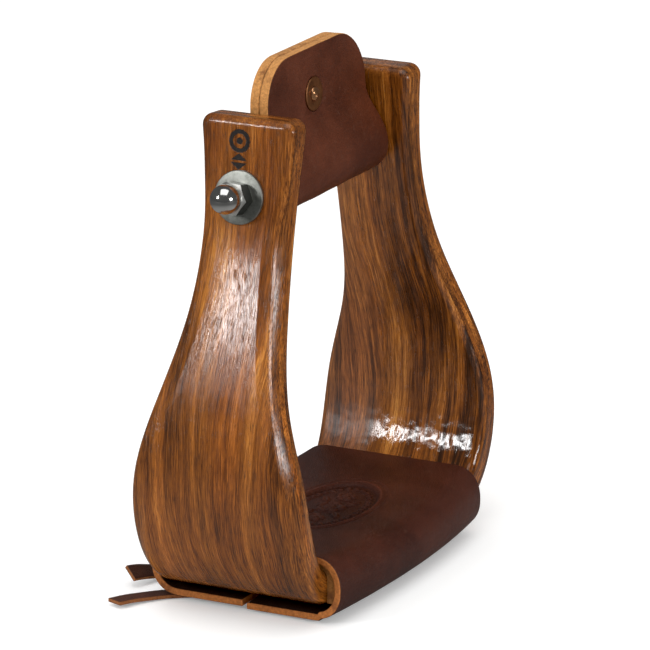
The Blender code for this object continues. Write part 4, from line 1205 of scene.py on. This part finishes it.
# ---------------------------------------------------------------- stage, lights, camera
def floor_material():
    """Pale, faintly lit to the camera and darker in reflections, most of all far out."""
    mat = Nodes("floor")
    place = mat.position()
    cloud = mat.noise(place, scale=3.0, detail=3)
    x, y, _ = mat.split(place)
    far = mat.step((x ** 2.0 + y ** 2.0).sqrt(), 0.12, 0.42)
    mirrored = mat.add("LightPath", {}, "Is Glossy Ray") * (0.74 + far * 0.20)
    pale = mat.mix(cloud, (0.90, 0.90, 0.89), (0.94, 0.94, 0.935))
    glow = mat.add("LightPath", {}, "Is Camera Ray") * 0.22
    return mat.surface(Base_Color=mat.mix(mirrored, pale, (0.03, 0.03, 0.03)), Roughness=0.9,
                       Specular_IOR_Level=0.1, Emission_Color=(1.0, 1.0, 1.0),
                       Emission_Strength=glow)


mat = floor_material()
bpy.ops.mesh.primitive_plane_add(size=16.0, location=(0, 0, -0.0003))
floor = bpy.context.active_object
floor.name = "floor"
floor.data.materials.append(mat)

FILL, FILL_MIRRORED = 0.78, 0.09    # the room's light, and as seen in reflections
world = bpy.data.worlds.new("studio")
bpy.context.scene.world = world
world.use_nodes = True
tree = world.node_tree
# the room is dimmer in reflections than as fill light, so its light is found by bounces only
world.cycles.sampling_method = "NONE"
light_path = tree.nodes.new("ShaderNodeLightPath")
mixer = tree.nodes.new("ShaderNodeMapRange")
tree.links.new(light_path.outputs["Is Glossy Ray"], mixer.inputs[0])
mixer.inputs[3].default_value, mixer.inputs[4].default_value = FILL, FILL_MIRRORED
background = tree.nodes["Background"]
background.inputs[0].default_value = (1.0, 1.0, 1.0, 1.0)
tree.links.new(mixer.outputs[0], background.inputs[1])


def panel(name, place, away, width, height, radiance):
    """A rectangular area light at place, facing against the direction away."""
    data = bpy.data.lights.new(name, "AREA")
    data.shape = "RECTANGLE"
    data.size, data.size_y = width, height
    data.energy = radiance * math.pi * width * height
    obj = bpy.data.objects.new(name, data)
    bpy.context.scene.collection.objects.link(obj)
    obj.location = place
    obj.rotation_mode = "QUATERNION"
    obj.rotation_quaternion = (-away).to_track_quat("-Z", "Y")


def panel_around(name, azimuth, elevation, width, height, radiance):
    """A panel 1.6 m from the stirrup's middle; azimuth 0 is in front, -90 at -X, degrees."""
    a, e = math.radians(azimuth), math.radians(elevation)
    away = Vector((math.sin(a) * math.cos(e), -math.cos(a) * math.cos(e), math.sin(e)))
    panel(name, Vector((0, 0, 0.11)) + away * 1.6, away, width, height, radiance)


place = Vector((-1.253, 0.700, 0.730))
panel("softbox_left", place, place - Vector((-0.074, 0.0, 0.130)),
      width=0.165, height=0.31, radiance=36.0)
panel_around("key", azimuth=-15, elevation=14, width=0.44, height=0.36, radiance=13.0)
panel_around("top", azimuth=-75, elevation=74, width=1.4, height=1.4, radiance=1.5)
panel_around("rim_right", azimuth=121, elevation=22, width=0.6, height=0.34, radiance=0.4)


def camera():
    """Azimuth and elevation of the aim, then a small pan, tilt and roll, in degrees."""
    az, el, yaw, pitch, roll = (math.radians(q) for q in (-61.8101, 16.7134, 0.0937, 0.0688, 0.7446))
    distance, aim = 2163.5, np.array([0, 0, 108.2])
    back = np.array([math.sin(az) * math.cos(el), -math.cos(az) * math.cos(el), math.sin(el)])
    right = np.array([math.cos(az), math.sin(az), 0.0])
    up = np.cross(back, right)
    (cy, cp, cr), (sy, sp, sr) = ([f(q) for q in (yaw, pitch, roll)] for f in (math.cos, math.sin))
    pan = np.array([[cy, 0, sy], [0, 1, 0], [-sy, 0, cy]])
    tilt = np.array([[1, 0, 0], [0, cp, -sp], [0, sp, cp]])
    spin = np.array([[cr, -sr, 0], [sr, cr, 0], [0, 0, 1]])
    axes = spin @ tilt @ pan @ np.array([right, up, back])
    data = bpy.data.cameras.new("camera")
    data.sensor_width = 36.0
    data.sensor_fit = "HORIZONTAL"
    data.lens = 287.00473846
    data.clip_start, data.clip_end = 0.05, 50.0
    obj = bpy.data.objects.new("camera", data)
    bpy.context.scene.collection.objects.link(obj)
    matrix = Matrix(axes.T.tolist()).to_4x4()
    matrix.translation = Vector(((aim + back * distance) * MM).tolist())
    obj.matrix_world = matrix
    bpy.context.scene.camera = obj


camera()
view = bpy.context.scene.view_settings
view.view_transform = "Standard"
view.use_curve_mapping = True
view.curve_mapping.black_level = (0.002, 0.002, 0.002)
view.curve_mapping.update()
